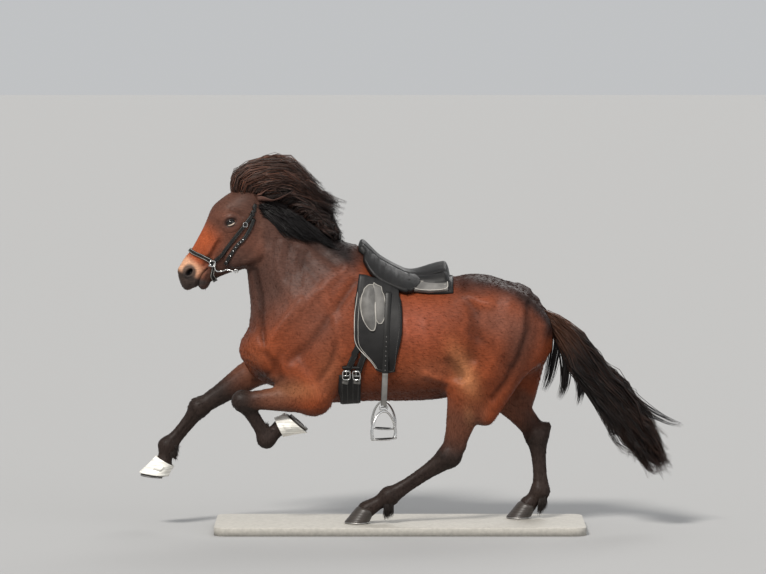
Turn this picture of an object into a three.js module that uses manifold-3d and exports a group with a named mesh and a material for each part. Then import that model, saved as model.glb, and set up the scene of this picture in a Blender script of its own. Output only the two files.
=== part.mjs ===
// A life-size Icelandic horse in toelt, saddled and bridled, on a flat display base.
// Millimetres, +Z up. The horse faces -X and its left side faces -Y.
// The origin is the centre of the base's underside.
import * as THREE from "three";
import { mergeVertices } from "three/addons/utils/BufferGeometryUtils.js";
import Module from "manifold-3d";

const wasm = await Module();
wasm.setup();

// Driving dimensions
const GAP = 0.35; // between solids that touch
const LEFT = -1;
const RIGHT = 1;
const BASE = { length: 1760, width: 640, thickness: 40, corner: 60 };
const HOOF = { toe: 66, heel: 62, halfWidth: 58, toeHeight: 74, heelHeight: 40, slope: 50, top: 0.84 };
HOOF.middle = (HOOF.toeHeight + HOOF.heelHeight) / 2;
HOOF.rise = (HOOF.toeHeight - HOOF.heelHeight) / (HOOF.toe + HOOF.heel);
const SHOE = { thickness: 8 };
const EYE = { x: -802, y: 86, z: 1468, radius: 21 };

// Trunk outline: [x, top z, bottom z, half width, level of the widest point as a share of the height]
const TRUNK = [
  [-742, 905, 800, 62, 0.5],
  [-700, 985, 735, 128, 0.5],
  [-620, 1110, 690, 165, 0.48],
  [-500, 1220, 640, 190, 0.45],
  [-360, 1305, 606, 212, 0.42],
  [-214, 1352, 612, 236, 0.4],
  [-90, 1268, 614, 262, 0.42],
  [30, 1208, 615, 276, 0.45],
  [140, 1195, 619, 276, 0.46],
  [240, 1206, 634, 264, 0.47],
  [340, 1222, 668, 250, 0.48],
  [440, 1212, 708, 240, 0.48],
  [540, 1168, 735, 216, 0.48],
  [620, 1106, 758, 178, 0.48],
  [680, 1045, 790, 132, 0.48],
  [718, 985, 850, 70, 0.48],
];
// Neck sections: [crest x, crest z, throat x, throat z, half width]
const NECK = [
  [-166, 1318, -676, 780, 160],
  [-228, 1350, -708, 960, 150],
  [-285, 1386, -712, 1066, 122],
  [-356, 1444, -722, 1161, 100],
  [-432, 1505, -731, 1246, 84],
  [-508, 1556, -741, 1332, 74],
  [-594, 1596, -746, 1418, 66],
  [-684, 1620, -760, 1512, 55],
];
// Head sections from poll to lips: [face x, face z, jaw x, jaw z, half width, widest level]
const HEAD = [
  [-700, 1634, -652, 1470, 58, 0.55],
  [-745, 1636, -652, 1385, 78, 0.55],
  [-800, 1614, -668, 1300, 92, 0.6],
  [-846, 1584, -706, 1256, 98, 0.66],
  [-893, 1541, -762, 1237, 88, 0.66],
  [-922, 1474, -812, 1223, 70, 0.62],
  [-955, 1406, -855, 1206, 58, 0.58],
  [-995, 1337, -888, 1188, 50, 0.55],
  [-1031, 1292, -917, 1172, 51, 0.52],
  [-1054, 1247, -950, 1160, 53, 0.5],
  [-1056, 1208, -990, 1157, 45, 0.5],
  [-1042, 1178, -1018, 1160, 28, 0.5],
];

// Joints of each leg as [x, y, z], the hoof's sole centre, and the hoof's pitch in degrees, 0 when flat
const FORE_LEFT = {
  side: LEFT,
  shoulder: [-640, -128, 872],
  elbow: [-405, -150, 640],
  knee: [-750, -138, 628],
  fetlock: [-636, -74, 436],
  sole: [-492, -62, 522],
  pitch: 140,
};
const FORE_RIGHT = {
  side: RIGHT,
  shoulder: [-664, 128, 900],
  elbow: [-636, 140, 776],
  knee: [-962, 128, 572],
  fetlock: [-1114, 120, 390],
  sole: [-1178, 118, 246],
  pitch: -6,
};
const FLOOR = BASE.thickness + GAP + SHOE.thickness + GAP;
const HIND_LEFT = {
  side: LEFT,
  hip: [540, -122, 1040],
  stifle: [318, -165, 690],
  hock: [232, -132, 362],
  fetlock: [-52, -118, 172],
  sole: [-198, -116, FLOOR],
  pitch: 0,
  hamstring: [396, -140, 560],
};
const HIND_RIGHT = {
  side: RIGHT,
  hip: [552, 122, 1046],
  stifle: [430, 165, 700],
  hock: [655, 132, 436],
  fetlock: [672, 118, 172],
  sole: [576, 116, FLOOR],
  pitch: 0,
  hamstring: [590, 140, 620],
};

// Leg sections: [share of the bone, front depth, back depth, half width]
const FOREARM = [
  [0, 72, 74, 58],
  [0.3, 74, 66, 56],
  [0.6, 56, 54, 45],
  [0.85, 45, 46, 37],
  [1, 44, 44, 38],
];
const FORE_CANNON = [
  [0, 46, 40, 39],
  [0.18, 38, 43, 35],
  [0.35, 30, 41, 27],
  [0.7, 28, 40, 25],
  [1, 38, 46, 34],
];
const GASKIN = [
  [0, 84, 100, 72],
  [0.3, 74, 96, 62],
  [0.6, 52, 76, 47],
  [0.85, 44, 64, 37],
  [1, 46, 58, 40],
];
const HIND_CANNON = [
  [0, 50, 54, 42],
  [0.16, 44, 50, 37],
  [0.35, 34, 42, 29],
  [0.7, 30, 40, 26],
  [1, 40, 48, 35],
];
const PASTERN = [
  [0, 40, 46, 35],
  [0.45, 34, 36, 33],
  [0.8, 40, 40, 40],
  [1, 44, 44, 44],
];

const smooth = THREE.MathUtils.smoothstep;
const mix = THREE.MathUtils.lerp;

// Signed distance field of the flesh, negative inside
const point = (p) => new THREE.Vector3(p[0], p[1], p[2]);

function section(centre, depth, side, up, down, half) {
  return { c: centre, u: depth.clone().normalize(), v: side.clone().normalize(), up, down, half };
}

function catmull(p0, p1, p2, p3, t) {
  const t2 = t * t;
  const t3 = t2 * t;
  const square = 2 * p0 - 5 * p1 + 4 * p2 - p3;
  const cube = 3 * p1 - p0 - 3 * p2 + p3;
  return 0.5 * (2 * p1 + (p2 - p0) * t + square * t2 + cube * t3);
}

function refine(sections, steps) {
  const flat = sections.map((s) => [...s.c, ...s.u, ...s.v, s.up, s.down, s.half]);
  const at = (i) => flat[Math.min(Math.max(i, 0), flat.length - 1)];
  const out = [];
  for (let i = 0; i + 1 < flat.length; i++) {
    for (let j = 0; j < steps; j++) {
      out.push(at(i).map((_, n) => catmull(at(i - 1)[n], at(i)[n], at(i + 1)[n], at(i + 2)[n], j / steps)));
    }
  }
  out.push(at(flat.length));
  return out.map((f) => section(point(f), point(f.slice(3)), point(f.slice(6)), f[9], f[10], f[11]));
}

// A loft is a chain of slabs, each between two elliptical sections.
function loft(sections, blend, steps = 3) {
  const fine = refine(sections, steps);
  for (const s of fine) s.n = s.u.clone().cross(s.v).normalize();
  const way = fine[fine.length - 1].c.clone().sub(fine[0].c);
  if (fine[0].n.dot(way) < 0) for (const s of fine) s.n.negate();
  const slabs = [];
  for (let i = 0; i + 1 < fine.length; i++) {
    const [a, b] = [fine[i], fine[i + 1]];
    const reach = Math.max(a.up, a.down, a.half, b.up, b.down, b.half) + a.c.distanceTo(b.c) / 2;
    slabs.push({ a, b, middle: a.c.clone().lerp(b.c, 0.5), reach });
  }
  return { slabs, blend };
}

function slabDistance({ a, b }, x, y, z) {
  const fa = (x - a.c.x) * a.n.x + (y - a.c.y) * a.n.y + (z - a.c.z) * a.n.z;
  const fb = (x - b.c.x) * b.n.x + (y - b.c.y) * b.n.y + (z - b.c.z) * b.n.z;
  const span = fa - fb;
  const ahead = fa + fb > 0 ? 1 : 0;
  const t = span > 1e-6 ? Math.min(Math.max(fa / span, 0), 1) : ahead;
  const s = 1 - t;
  const dx = x - (a.c.x * s + b.c.x * t);
  const dy = y - (a.c.y * s + b.c.y * t);
  const dz = z - (a.c.z * s + b.c.z * t);
  const du = dx * (a.u.x * s + b.u.x * t) + dy * (a.u.y * s + b.u.y * t) + dz * (a.u.z * s + b.u.z * t);
  const dv = dx * (a.v.x * s + b.v.x * t) + dy * (a.v.y * s + b.v.y * t) + dz * (a.v.z * s + b.v.z * t);
  const along = t > 0 && t < 1 ? 0 : Math.sqrt(Math.max(dx * dx + dy * dy + dz * dz - du * du - dv * dv, 0));
  const depth = du > 0 ? a.up * s + b.up * t : a.down * s + b.down * t;
  const half = a.half * s + b.half * t;
  const k0 = Math.hypot(du / depth, dv / half);
  const k1 = Math.hypot(du / (depth * depth), dv / (half * half));
  const across = k1 > 1e-9 ? (k0 * (k0 - 1)) / k1 : -Math.min(depth, half);
  if (along < 1e-6) return across;
  return across > 0 ? Math.hypot(across, along) : along;
}

function loftDistance(one, x, y, z, cap) {
  let best = cap;
  for (const slab of one.slabs) {
    const m = slab.middle;
    const far = Math.hypot(x - m.x, y - m.y, z - m.z) - slab.reach;
    if (far < best) best = Math.min(best, slabDistance(slab, x, y, z));
  }
  return best;
}

const FAR = 400;
function fieldOf(lofts) {
  return (x, y, z) => {
    let d = FAR;
    for (const one of lofts) {
      const e = loftDistance(one, x, y, z, d + one.blend);
      const h = Math.max(one.blend - Math.abs(d - e), 0) / one.blend;
      d = Math.min(d, e) - (h * h * one.blend) / 4;
    }
    return d;
  };
}

// Sections given by the two ends of their depth line, in the plane y = middle
const SIDE = new THREE.Vector3(0, 1, 0);
function outline(rows, blend, middle = 0) {
  return loft(
    rows.map(([tx, tz, bx, bz, half, level = 0.5]) => {
      const top = new THREE.Vector3(tx, middle, tz);
      const bottom = new THREE.Vector3(bx, middle, bz);
      const height = top.distanceTo(bottom);
      const centre = bottom.clone().lerp(top, level);
      return section(centre, top.clone().sub(bottom), SIDE, height * (1 - level), height * level, half);
    }),
    blend,
  );
}

// A straight bone or muscle from one point to another, round at both ends.
// Its sections are [share, front, back, half width].
const ROUND = [[0.45, 0.89], [0.8, 0.6], [0.98, 0.2]];
function bone(from, to, rows, blend) {
  const a = point(from);
  const b = point(to);
  const d = b.clone().sub(a).normalize();
  const front = SIDE.clone().cross(d).normalize();
  const side = d.clone().cross(front);
  const length = a.distanceTo(b);
  const cap = ([share, up, down, half], way) => {
    const reach = (Math.min(up + down, 2 * half) / 2 / length) * way;
    return ROUND.map(([far, size]) => [share + far * reach, up * size, down * size, half * size]);
  };
  const fine = rows.flatMap((row, i) => {
    const at = (n) => rows[Math.min(Math.max(n, 0), rows.length - 1)];
    if (i + 1 === rows.length) return [row];
    const half = row.map((_, n) => catmull(at(i - 1)[n], row[n], at(i + 1)[n], at(i + 2)[n], 0.5));
    return [row, [(row[0] + at(i + 1)[0]) / 2, ...half.slice(1)]];
  });
  const all = [...cap(rows[0], -1).reverse(), ...fine, ...cap(rows[rows.length - 1], 1)];
  return loft(
    all.map(([share, up, down, half]) => section(a.clone().lerp(b, share), front, side, up, down, half)),
    blend,
    1,
  );
}

function ball(at, up, side, blend, lean = [0, 0, 1]) {
  const c = point(at);
  const n = point(lean).normalize();
  const half = up * 0.98;
  const rows = [-0.98, -0.85, -0.5, 0, 0.5, 0.85, 0.98];
  const front = SIDE.clone().cross(n).normalize();
  return loft(
    rows.map((h) => {
      const r = Math.sqrt(1 - h * h);
      return section(c.clone().addScaledVector(n, h * half), front, SIDE, up * r, up * r, side * r);
    }),
    blend,
    1,
  );
}

const trunk = outline(TRUNK.map(([x, top, bottom, half, level]) => [x, top, x, bottom, half, level]), 40);
const neck = outline(NECK, 60);

// Muscles of the shoulder, upper arm and chest
function foreGirdle({ side, shoulder, elbow }) {
  const bladeTop = [-262, side * 62, 1262];
  const ribs = [-318, side * 142, 962];
  return [
    bone(bladeTop, shoulder, [[0, 52, 60, 34], [0.3, 88, 92, 58], [0.7, 96, 92, 72], [1, 66, 70, 62]], 60),
    bone(shoulder, elbow, [[-0.12, 56, 50, 50], [0.1, 82, 78, 68], [0.6, 84, 88, 66], [1, 70, 78, 58]], 50),
    bone(ribs, elbow, [[0, 84, 84, 58], [0.5, 92, 92, 66], [1, 62, 66, 52]], 60),
    ball([-688, side * 66, 866], 74, 66, 50),
    ball(elbow, 82, 62, 40),
  ];
}

// Muscles of the croup, thigh and buttock
function hindGirdle({ side, hip, stifle, hamstring }) {
  const loin = [330, side * 96, 1096];
  const buttock = [648, side * 84, 985];
  return [
    bone(loin, hip, [[0, 96, 90, 84], [0.5, 118, 110, 104], [1, 112, 120, 100]], 60),
    bone(hip, stifle, [[0, 120, 140, 96], [0.5, 128, 150, 98], [0.85, 104, 112, 84], [1.06, 74, 92, 70]], 60),
    bone(buttock, hamstring, [[0, 70, 62, 60], [0.4, 92, 78, 76], [1, 62, 60, 52]], 60),
  ];
}

function hoofFrame({ sole, pitch }) {
  const turn = THREE.MathUtils.degToRad(pitch);
  const toe = new THREE.Vector3(-Math.cos(turn), 0, -Math.sin(turn));
  const up = new THREE.Vector3(-Math.sin(turn), 0, Math.cos(turn));
  return { toe, up, sole: point(sole) };
}

function coronet(leg) {
  const { toe, up, sole } = hoofFrame(leg);
  const lift = HOOF.middle;
  const setBack = lift / Math.tan(THREE.MathUtils.degToRad(HOOF.slope));
  return sole.clone().addScaledVector(up, lift + GAP).addScaledVector(toe, -setBack * 0.8);
}

function lowerLeg(leg, upper, lower, top, middle, bend) {
  const foot = coronet(leg).toArray();
  return [
    bone(top, middle, upper, 30),
    bone(middle, leg.fetlock, lower, bend),
    ball(leg.fetlock, 42, 36, 20),
    bone(leg.fetlock, foot, PASTERN, 24),
  ];
}
const foreLeg = (leg) => [
  ...lowerLeg(leg, FOREARM, FORE_CANNON, leg.elbow, leg.knee, 30),
  ball(leg.knee, 48, 41, 22),
];
const hindLeg = (leg) => {
  const heelBone = [leg.hock[0] + 52, leg.hock[1], leg.hock[2] + 46];
  return [
    ...lowerLeg(leg, GASKIN, HIND_CANNON, leg.stifle, leg.hock, 34),
    ball(leg.hock, 52, 42, 24),
    bone(heelBone, leg.hock, [[0, 24, 20, 20], [1, 34, 34, 30]], 34),
  ];
};

const forePair = [FORE_LEFT, FORE_RIGHT];
const hindPair = [HIND_LEFT, HIND_RIGHT];
const torsoLofts = [
  trunk,
  neck,
  ...forePair.flatMap(foreGirdle),
  ...hindPair.flatMap((leg) => [...hindGirdle(leg), bone(leg.stifle, leg.hock, GASKIN, 30)]),
];
const bodyField = fieldOf(torsoLofts);

// Head: skull, jaw, cheeks, brows and muzzle
const headLofts = [
  outline(HEAD, 20),
  ...[LEFT, RIGHT].flatMap((side) => [
    bone([-690, side * 52, 1350], [-800, side * 62, 1300], [[0, 60, 60, 30], [1, 52, 52, 26]], 40),
    bone([-800, side * 78, 1505], [-852, side * 74, 1490], [[0, 22, 20, 20], [1, 16, 16, 16]], 24),
    bone([-868, side * 60, 1400], [-905, side * 50, 1330], [[0, 14, 14, 14], [1, 10, 10, 10]], 26),
    ball([-1030, side * 36, 1236], 30, 20, 18),
  ]),
  ball([-1010, 0, 1176], 34, 38, 18),
  ball([-935, 0, 1176], 30, 34, 16),
];

// Grid lines whose spacing is given at some stops: [coordinate, spacing]
function axis(stops) {
  const last = stops[stops.length - 1][0];
  const lines = [stops[0][0]];
  while (lines[lines.length - 1] < last) {
    const here = lines[lines.length - 1];
    const i = Math.max(stops.findIndex(([at]) => at > here), 1);
    const [[a, stepA], [b, stepB]] = [stops[i - 1], stops[i]];
    lines.push(here + THREE.MathUtils.lerp(stepA, stepB, (here - a) / (b - a)));
  }
  return lines;
}
const even = (low, high, step) => low.map((v, i) => axis([[v, step[i]], [high[i], step[i]]]));

// Surface nets: one vertex in each cell that the surface crosses, one quad for each crossed edge
function nets(field, lines) {
  const n = lines.map((line) => line.length);
  const index = (i, j, k) => i + n[0] * (j + n[1] * k);
  const values = new Float64Array(n[0] * n[1] * n[2]);
  for (let k = 0; k < n[2]; k++) {
    for (let j = 0; j < n[1]; j++) {
      for (let i = 0; i < n[0]; i++) {
        const edge = [i, j, k].some((g, m) => g === 0 || g === n[m] - 1);
        const value = field(lines[0][i], lines[1][j], lines[2][k]) || 1e-6;
        values[index(i, j, k)] = edge ? Math.max(value, 1) : value;
      }
    }
  }
  unpinch(values, n, index);
  const corners = [0, 1, 2, 3, 4, 5, 6, 7].map((c) => [c & 1, (c >> 1) & 1, (c >> 2) & 1]);
  const edges = [
    [0, 1], [2, 3], [4, 5], [6, 7], [0, 2], [1, 3],
    [4, 6], [5, 7], [0, 4], [1, 5], [2, 6], [3, 7],
  ];
  const vertexOf = new Map();
  const positions = [];
  const spans = [];
  for (let k = 0; k + 1 < n[2]; k++) {
    for (let j = 0; j + 1 < n[1]; j++) {
      for (let i = 0; i + 1 < n[0]; i++) {
        const d = corners.map(([a, b, c]) => values[index(i + a, j + b, k + c)]);
        const sum = [0, 0, 0];
        let count = 0;
        for (const [a, b] of edges) {
          if (d[a] < 0 === d[b] < 0) continue;
          const t = d[a] / (d[a] - d[b]);
          for (let m = 0; m < 3; m++) sum[m] += corners[a][m] * (1 - t) + corners[b][m] * t;
          count += 1;
        }
        if (!count) continue;
        vertexOf.set(index(i, j, k), positions.length / 3);
        const size = [i, j, k].map((g, m) => lines[m][g + 1] - lines[m][g]);
        positions.push(...[i, j, k].map((g, m) => lines[m][g] + (sum[m] / count) * size[m]));
        spans.push(Math.min(...size));
      }
    }
  }
  settle(positions, field, spans);
  const faces = [];
  const quad = (a, b, c, d, flip) => {
    const v = [a, b, c, d].map((g) => vertexOf.get(g));
    const gap = (p, q) => Math.hypot(...[0, 1, 2].map((m) => positions[3 * p + m] - positions[3 * q + m]));
    const r = flip ? [v[3], v[2], v[1], v[0]] : v;
    if (gap(r[0], r[2]) <= gap(r[1], r[3])) faces.push(r[0], r[1], r[2], r[0], r[2], r[3]);
    else faces.push(r[1], r[2], r[3], r[1], r[3], r[0]);
  };
  const rings = [
    [[0, 0, 0], [0, 1, 0], [0, 1, 1], [0, 0, 1]],
    [[0, 0, 0], [0, 0, 1], [1, 0, 1], [1, 0, 0]],
    [[0, 0, 0], [1, 0, 0], [1, 1, 0], [0, 1, 0]],
  ];
  for (let k = 0; k + 1 < n[2]; k++) {
    for (let j = 0; j + 1 < n[1]; j++) {
      for (let i = 0; i + 1 < n[0]; i++) {
        const here = values[index(i, j, k)] < 0;
        const ahead = [index(i + 1, j, k), index(i, j + 1, k), index(i, j, k + 1)];
        rings.forEach((ring, m) => {
          if (here === values[ahead[m]] < 0) return;
          quad(...ring.map(([a, b, c]) => index(i - a, j - b, k - c)), here);
        });
      }
    }
  }
  return shell(positions, faces);
}

// A grid square with opposite corners inside would pinch the surface, so its value nearest zero changes side
function unpinch(values, n, index) {
  const across = [[[1, 0, 0], [0, 1, 0]], [[0, 1, 0], [0, 0, 1]], [[0, 0, 1], [1, 0, 0]]];
  let changed = true;
  while (changed) {
    changed = false;
    for (let k = 0; k + 1 < n[2]; k++) {
      for (let j = 0; j + 1 < n[1]; j++) {
        for (let i = 0; i + 1 < n[0]; i++) {
          for (const [a, b] of across) {
            const square = [
              index(i, j, k),
              index(i + a[0], j + a[1], k + a[2]),
              index(i + b[0], j + b[1], k + b[2]),
              index(i + a[0] + b[0], j + a[1] + b[1], k + a[2] + b[2]),
            ];
            const [p, q, r, s] = square.map((g) => values[g] < 0);
            if (p !== s || q !== r || p === q) continue;
            const least = square.reduce((u, v) => (Math.abs(values[v]) < Math.abs(values[u]) ? v : u));
            values[least] = values[least] < 0 ? 0.01 : -0.01;
            changed = true;
          }
        }
      }
    }
  }
}

function gradient(field, x, y, z) {
  const e = 2;
  const g = [
    field(x + e, y, z) - field(x - e, y, z),
    field(x, y + e, z) - field(x, y - e, z),
    field(x, y, z + e) - field(x, y, z - e),
  ];
  const size = Math.hypot(...g) || 1;
  return { slope: size / (2 * e), way: g.map((v) => v / size) };
}

// Moves each vertex onto the surface, by less than half a cell
function settle(positions, field, spans) {
  for (let i = 0; i < positions.length; i += 3) {
    let left = spans[i / 3] * 0.45;
    for (let turn = 0; turn < 3; turn++) {
      const p = positions.slice(i, i + 3);
      const { slope, way } = gradient(field, ...p);
      const move = Math.min(Math.max(-field(...p) / Math.max(slope, 0.3), -left), left);
      left -= Math.abs(move);
      for (let m = 0; m < 3; m++) positions[i + m] += way[m] * move;
    }
  }
}

// Solids and Boolean steps
function shell(positions, faces) {
  const g = new THREE.BufferGeometry();
  g.setAttribute("position", new THREE.Float32BufferAttribute(positions, 3));
  g.setIndex(faces);
  return g;
}

function solid(geometry) {
  const bare = new THREE.BufferGeometry().setAttribute("position", geometry.getAttribute("position"));
  bare.setIndex(geometry.index ? geometry.index.clone() : null);
  const merged = mergeVertices(bare, 1e-3);
  const index = merged.index.array;
  const faces = [];
  for (let i = 0; i < index.length; i += 3) {
    const [a, b, c] = [index[i], index[i + 1], index[i + 2]];
    if (a !== b && b !== c && a !== c) faces.push(a, b, c);
  }
  const vertProperties = merged.attributes.position.array;
  const whole = () => new wasm.Manifold(new wasm.Mesh({ numProp: 3, vertProperties, triVerts: new Uint32Array(faces) }));
  const made = whole();
  if (made.volume() >= 0) return made;
  for (let i = 0; i < faces.length; i += 3) [faces[i], faces[i + 1]] = [faces[i + 1], faces[i]];
  return whole();
}

function geometryOf(made) {
  const m = made.getMesh();
  const positions = [];
  for (let i = 0; i < m.numVert; i++) {
    const start = i * m.numProp;
    positions.push(...m.vertProperties.slice(start, start + 3));
  }
  return shell(positions, [...m.triVerts]);
}

const largest = (made) => made.decompose().reduce((a, b) => (b.volume() > a.volume() ? b : a));
const join = (...solids) => solids.reduce((a, b) => a.add(b));

// A solid whose surface stands outside the given one by about the distance given
function grown(made, by) {
  const g = mergeVertices(geometryOf(made), 1e-3);
  g.computeVertexNormals();
  const p = g.attributes.position;
  const n = g.attributes.normal;
  const positions = [];
  for (let i = 0; i < p.count; i++) {
    positions.push(p.getX(i) + n.getX(i) * by, p.getY(i) + n.getY(i) * by, p.getZ(i) + n.getZ(i) * by);
  }
  return solid(shell(positions, [...g.index.array]));
}

// Hooves: rings from the ground to the coronet, which slopes down to the heel
function hoofRing({ toe, up, sole }, height, scale, grow) {
  const ring = [];
  const side = SIDE;
  const slope = Math.tan(THREE.MathUtils.degToRad(HOOF.slope));
  const count = 12;
  for (let i = 0; i < count; i++) {
    const angle = (i / count) * Math.PI * 2;
    const forward = Math.cos(angle);
    const reach = (forward > 0 ? HOOF.toe : HOOF.heel * 0.86) * scale + grow;
    const wide = (HOOF.halfWidth * scale + grow) * (forward < 0 ? 1 - 0.12 * forward * forward : 1);
    const lift = height * (HOOF.middle + forward * reach * HOOF.rise);
    ring.push(
      sole
        .clone()
        .addScaledVector(toe, forward * reach - (lift / slope) * 0.8)
        .addScaledVector(side, Math.sin(angle) * wide)
        .addScaledVector(up, lift),
    );
  }
  return ring;
}

function ringsGeometry(rings) {
  const count = rings[0].length;
  const positions = rings.flatMap((r) => r.flatMap((p) => p.toArray()));
  const faces = [];
  for (let i = 0; i + 1 < rings.length; i++) {
    for (let j = 0; j < count; j++) {
      const a = i * count + j;
      const b = i * count + ((j + 1) % count);
      faces.push(a, b, b + count, a, b + count, a + count);
    }
  }
  for (const [ring, flip] of [[0, true], [rings.length - 1, false]]) {
    const middle = rings[ring].reduce((m, p) => m.add(p), new THREE.Vector3()).divideScalar(count);
    const centre = positions.length / 3;
    positions.push(...middle.toArray());
    for (let j = 0; j < count; j++) {
      const a = ring * count + j;
      const b = ring * count + ((j + 1) % count);
      if (flip) faces.push(centre, b, a);
      else faces.push(centre, a, b);
    }
  }
  return shell(positions, faces);
}

function hoofGeometry(frame, grow = 0) {
  const bottom = grow ? -0.05 : 0;
  return ringsGeometry([
    hoofRing(frame, bottom, 1, grow),
    hoofRing(frame, 0.5, 0.94, grow),
    hoofRing(frame, 1 + (grow ? 0.01 : 0), HOOF.top, grow),
  ]);
}

// Solids from grids: a sheet between two grids of points, and a tube of rings
function sheet(inner, outer) {
  const rows = inner.length;
  const columns = inner[0].length;
  const positions = [...inner.flat(), ...outer.flat()].flat();
  const at = (i, j, top) => top * rows * columns + i * columns + j;
  const faces = [];
  const quad = (a, b, c, d) => faces.push(a, b, c, a, c, d);
  for (let i = 0; i + 1 < rows; i++) {
    for (let j = 0; j + 1 < columns; j++) {
      quad(at(i, j, 1), at(i + 1, j, 1), at(i + 1, j + 1, 1), at(i, j + 1, 1));
      faces.push(at(i, j, 0), at(i + 1, j + 1, 0), at(i + 1, j, 0));
      faces.push(at(i, j, 0), at(i, j + 1, 0), at(i + 1, j + 1, 0));
    }
  }
  for (let i = 0; i + 1 < rows; i++) {
    quad(at(i, 0, 0), at(i + 1, 0, 0), at(i + 1, 0, 1), at(i, 0, 1));
    quad(at(i + 1, columns - 1, 0), at(i, columns - 1, 0), at(i, columns - 1, 1), at(i + 1, columns - 1, 1));
  }
  for (let j = 0; j + 1 < columns; j++) {
    quad(at(0, j + 1, 0), at(0, j, 0), at(0, j, 1), at(0, j + 1, 1));
    quad(at(rows - 1, j, 0), at(rows - 1, j + 1, 0), at(rows - 1, j + 1, 1), at(rows - 1, j, 1));
  }
  return solid(shell(positions, faces));
}

// Walks from a point to where the field has the level given
function onto(field, start, level) {
  const p = [...start];
  for (let turn = 0; turn < 8; turn++) {
    const { slope, way } = gradient(field, ...p);
    const move = (level - field(...p)) / Math.max(slope, 0.5);
    for (let m = 0; m < 3; m++) p[m] += way[m] * Math.min(Math.max(move, -60), 60);
  }
  return p;
}

// A sheet that lies on the body: guess(u, v) gives a point near it, low and high the levels of its two faces
function draped(field, rows, columns, guess, low, high) {
  const grid = (level) =>
    Array.from({ length: rows + 1 }, (_, i) =>
      Array.from({ length: columns + 1 }, (_, j) => {
        const [u, v] = [i / rows, j / columns];
        return onto(field, guess(u, v), typeof level === "number" ? level : level(u, v));
      }),
    );
  return sheet(grid(low), grid(high));
}

// A strap that follows points near the body
function strap(field, path, width, thickness, steps, low = -8) {
  const curve = new THREE.CatmullRomCurve3(path.map(point));
  const guess = (u, v) => {
    const middle = onto(field, curve.getPoint(u).toArray(), 0);
    const along = curve.getTangent(u);
    const out = point(gradient(field, ...middle).way);
    const across = along.clone().cross(out).normalize();
    return point(middle).addScaledVector(across, (v - 0.5) * width).toArray();
  };
  return draped(field, steps, 1, guess, low, thickness);
}

function ringTube(rings) {
  return solid(ringsGeometry(rings));
}

// A round or flat bar along a path; its section has the radii given across and out
function bar(path, across, thin, steps, sides = 6, out = [0, 1, 0]) {
  const curve = new THREE.CatmullRomCurve3(path.map(point));
  return ringTube(
    Array.from({ length: steps + 1 }, (_, i) => {
      const c = curve.getPoint(i / steps);
      const along = curve.getTangent(i / steps);
      const v = point(out).sub(along.clone().multiplyScalar(point(out).dot(along))).normalize();
      const w = along.clone().cross(v).normalize();
      return Array.from({ length: sides }, (_, j) => {
        const angle = ((j + 0.5) / sides) * Math.PI * 2;
        return c.clone().addScaledVector(w, Math.cos(angle) * across).addScaledVector(v, Math.sin(angle) * thin);
      });
    }),
  );
}

// A box whose top face is centred on a point and whose length runs down from it, turned about Y
function block(at, turn, [long, wide, deep]) {
  const g = new THREE.BoxGeometry(long, wide, deep);
  g.translate(0, 0, -deep / 2);
  g.rotateY(THREE.MathUtils.degToRad(turn));
  g.translate(...at);
  return solid(g);
}

function ballSolid(at, [rx, ry, rz], turn = 0, sides = 8, rings = 6) {
  const g = new THREE.SphereGeometry(1, sides, rings);
  g.scale(rx, ry, rz);
  g.rotateY(THREE.MathUtils.degToRad(turn));
  g.translate(...at);
  return solid(g);
}

const parts = {};
const cut = (made, ...others) => largest(others.reduce((a, b) => a.subtract(b), made));
const wrap = (name) => grown(parts[name], GAP * 1.4);

// Hair: [top x, top z, bottom x, bottom z, half width] of its whole mass, along the crest and down the tail
const MANE = [
  [-804, 1644, -770, 1588, 30],
  [-762, 1712, -716, 1590, 50],
  [-702, 1768, -676, 1570, 62],
  [-640, 1792, -640, 1548, 66],
  [-580, 1800, -590, 1520, 68],
  [-512, 1792, -545, 1490, 68],
  [-446, 1744, -500, 1450, 66],
  [-396, 1672, -462, 1420, 58],
  [-344, 1582, -418, 1396, 48],
  [-318, 1510, -372, 1390, 36],
  [-284, 1416, -322, 1372, 20],
];
const TAIL = [
  [676, 1064, 706, 968, 30],
  [770, 1034, 738, 900, 42],
  [836, 990, 772, 812, 50],
  [922, 892, 818, 736, 57],
  [1010, 772, 884, 658, 60],
  [1106, 650, 978, 544, 60],
  [1182, 544, 1054, 430, 54],
  [1222, 458, 1130, 340, 44],
  [1254, 358, 1196, 288, 28],
  [1266, 306, 1240, 270, 12],
];
const CORE = { height: 0.44, width: 0.5, tailRows: 5 };
const coreRows = (rows, base) =>
  rows.map(([tx, tz, bx, bz, half]) => {
    const at = (share) => [mix(bx, tx, share), mix(bz, tz, share)];
    return [...at(base + CORE.height), ...at(base), half * CORE.width];
  });

// Lines that the hair follows from root to tip, as [x, z], from the forelock back to the withers
const FORELOCK_LINES = [
  [[-774, 1590], [-784, 1690], [-704, 1760], [-596, 1782], [-494, 1754], [-424, 1672]],
  [[-744, 1594], [-746, 1676], [-680, 1738], [-584, 1756], [-482, 1724], [-414, 1652]],
  [[-706, 1600], [-706, 1664], [-650, 1710], [-556, 1722], [-462, 1690], [-400, 1622]],
];
const MANE_LINES = [
  [[-620, 1556], [-596, 1620], [-536, 1648], [-456, 1636], [-376, 1600], [-302, 1568]],
  [[-550, 1530], [-528, 1584], [-474, 1604], [-412, 1586], [-360, 1556], [-322, 1526]],
  [[-452, 1474], [-440, 1520], [-406, 1546], [-370, 1524], [-338, 1494], [-306, 1462]],
  [[-352, 1410], [-350, 1446], [-336, 1460], [-318, 1444], [-300, 1424], [-282, 1402]],
];
const SPREAD = { y: [16, 46, 58, 60, 54, 40], sink: 50, turn: 84 };
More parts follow.
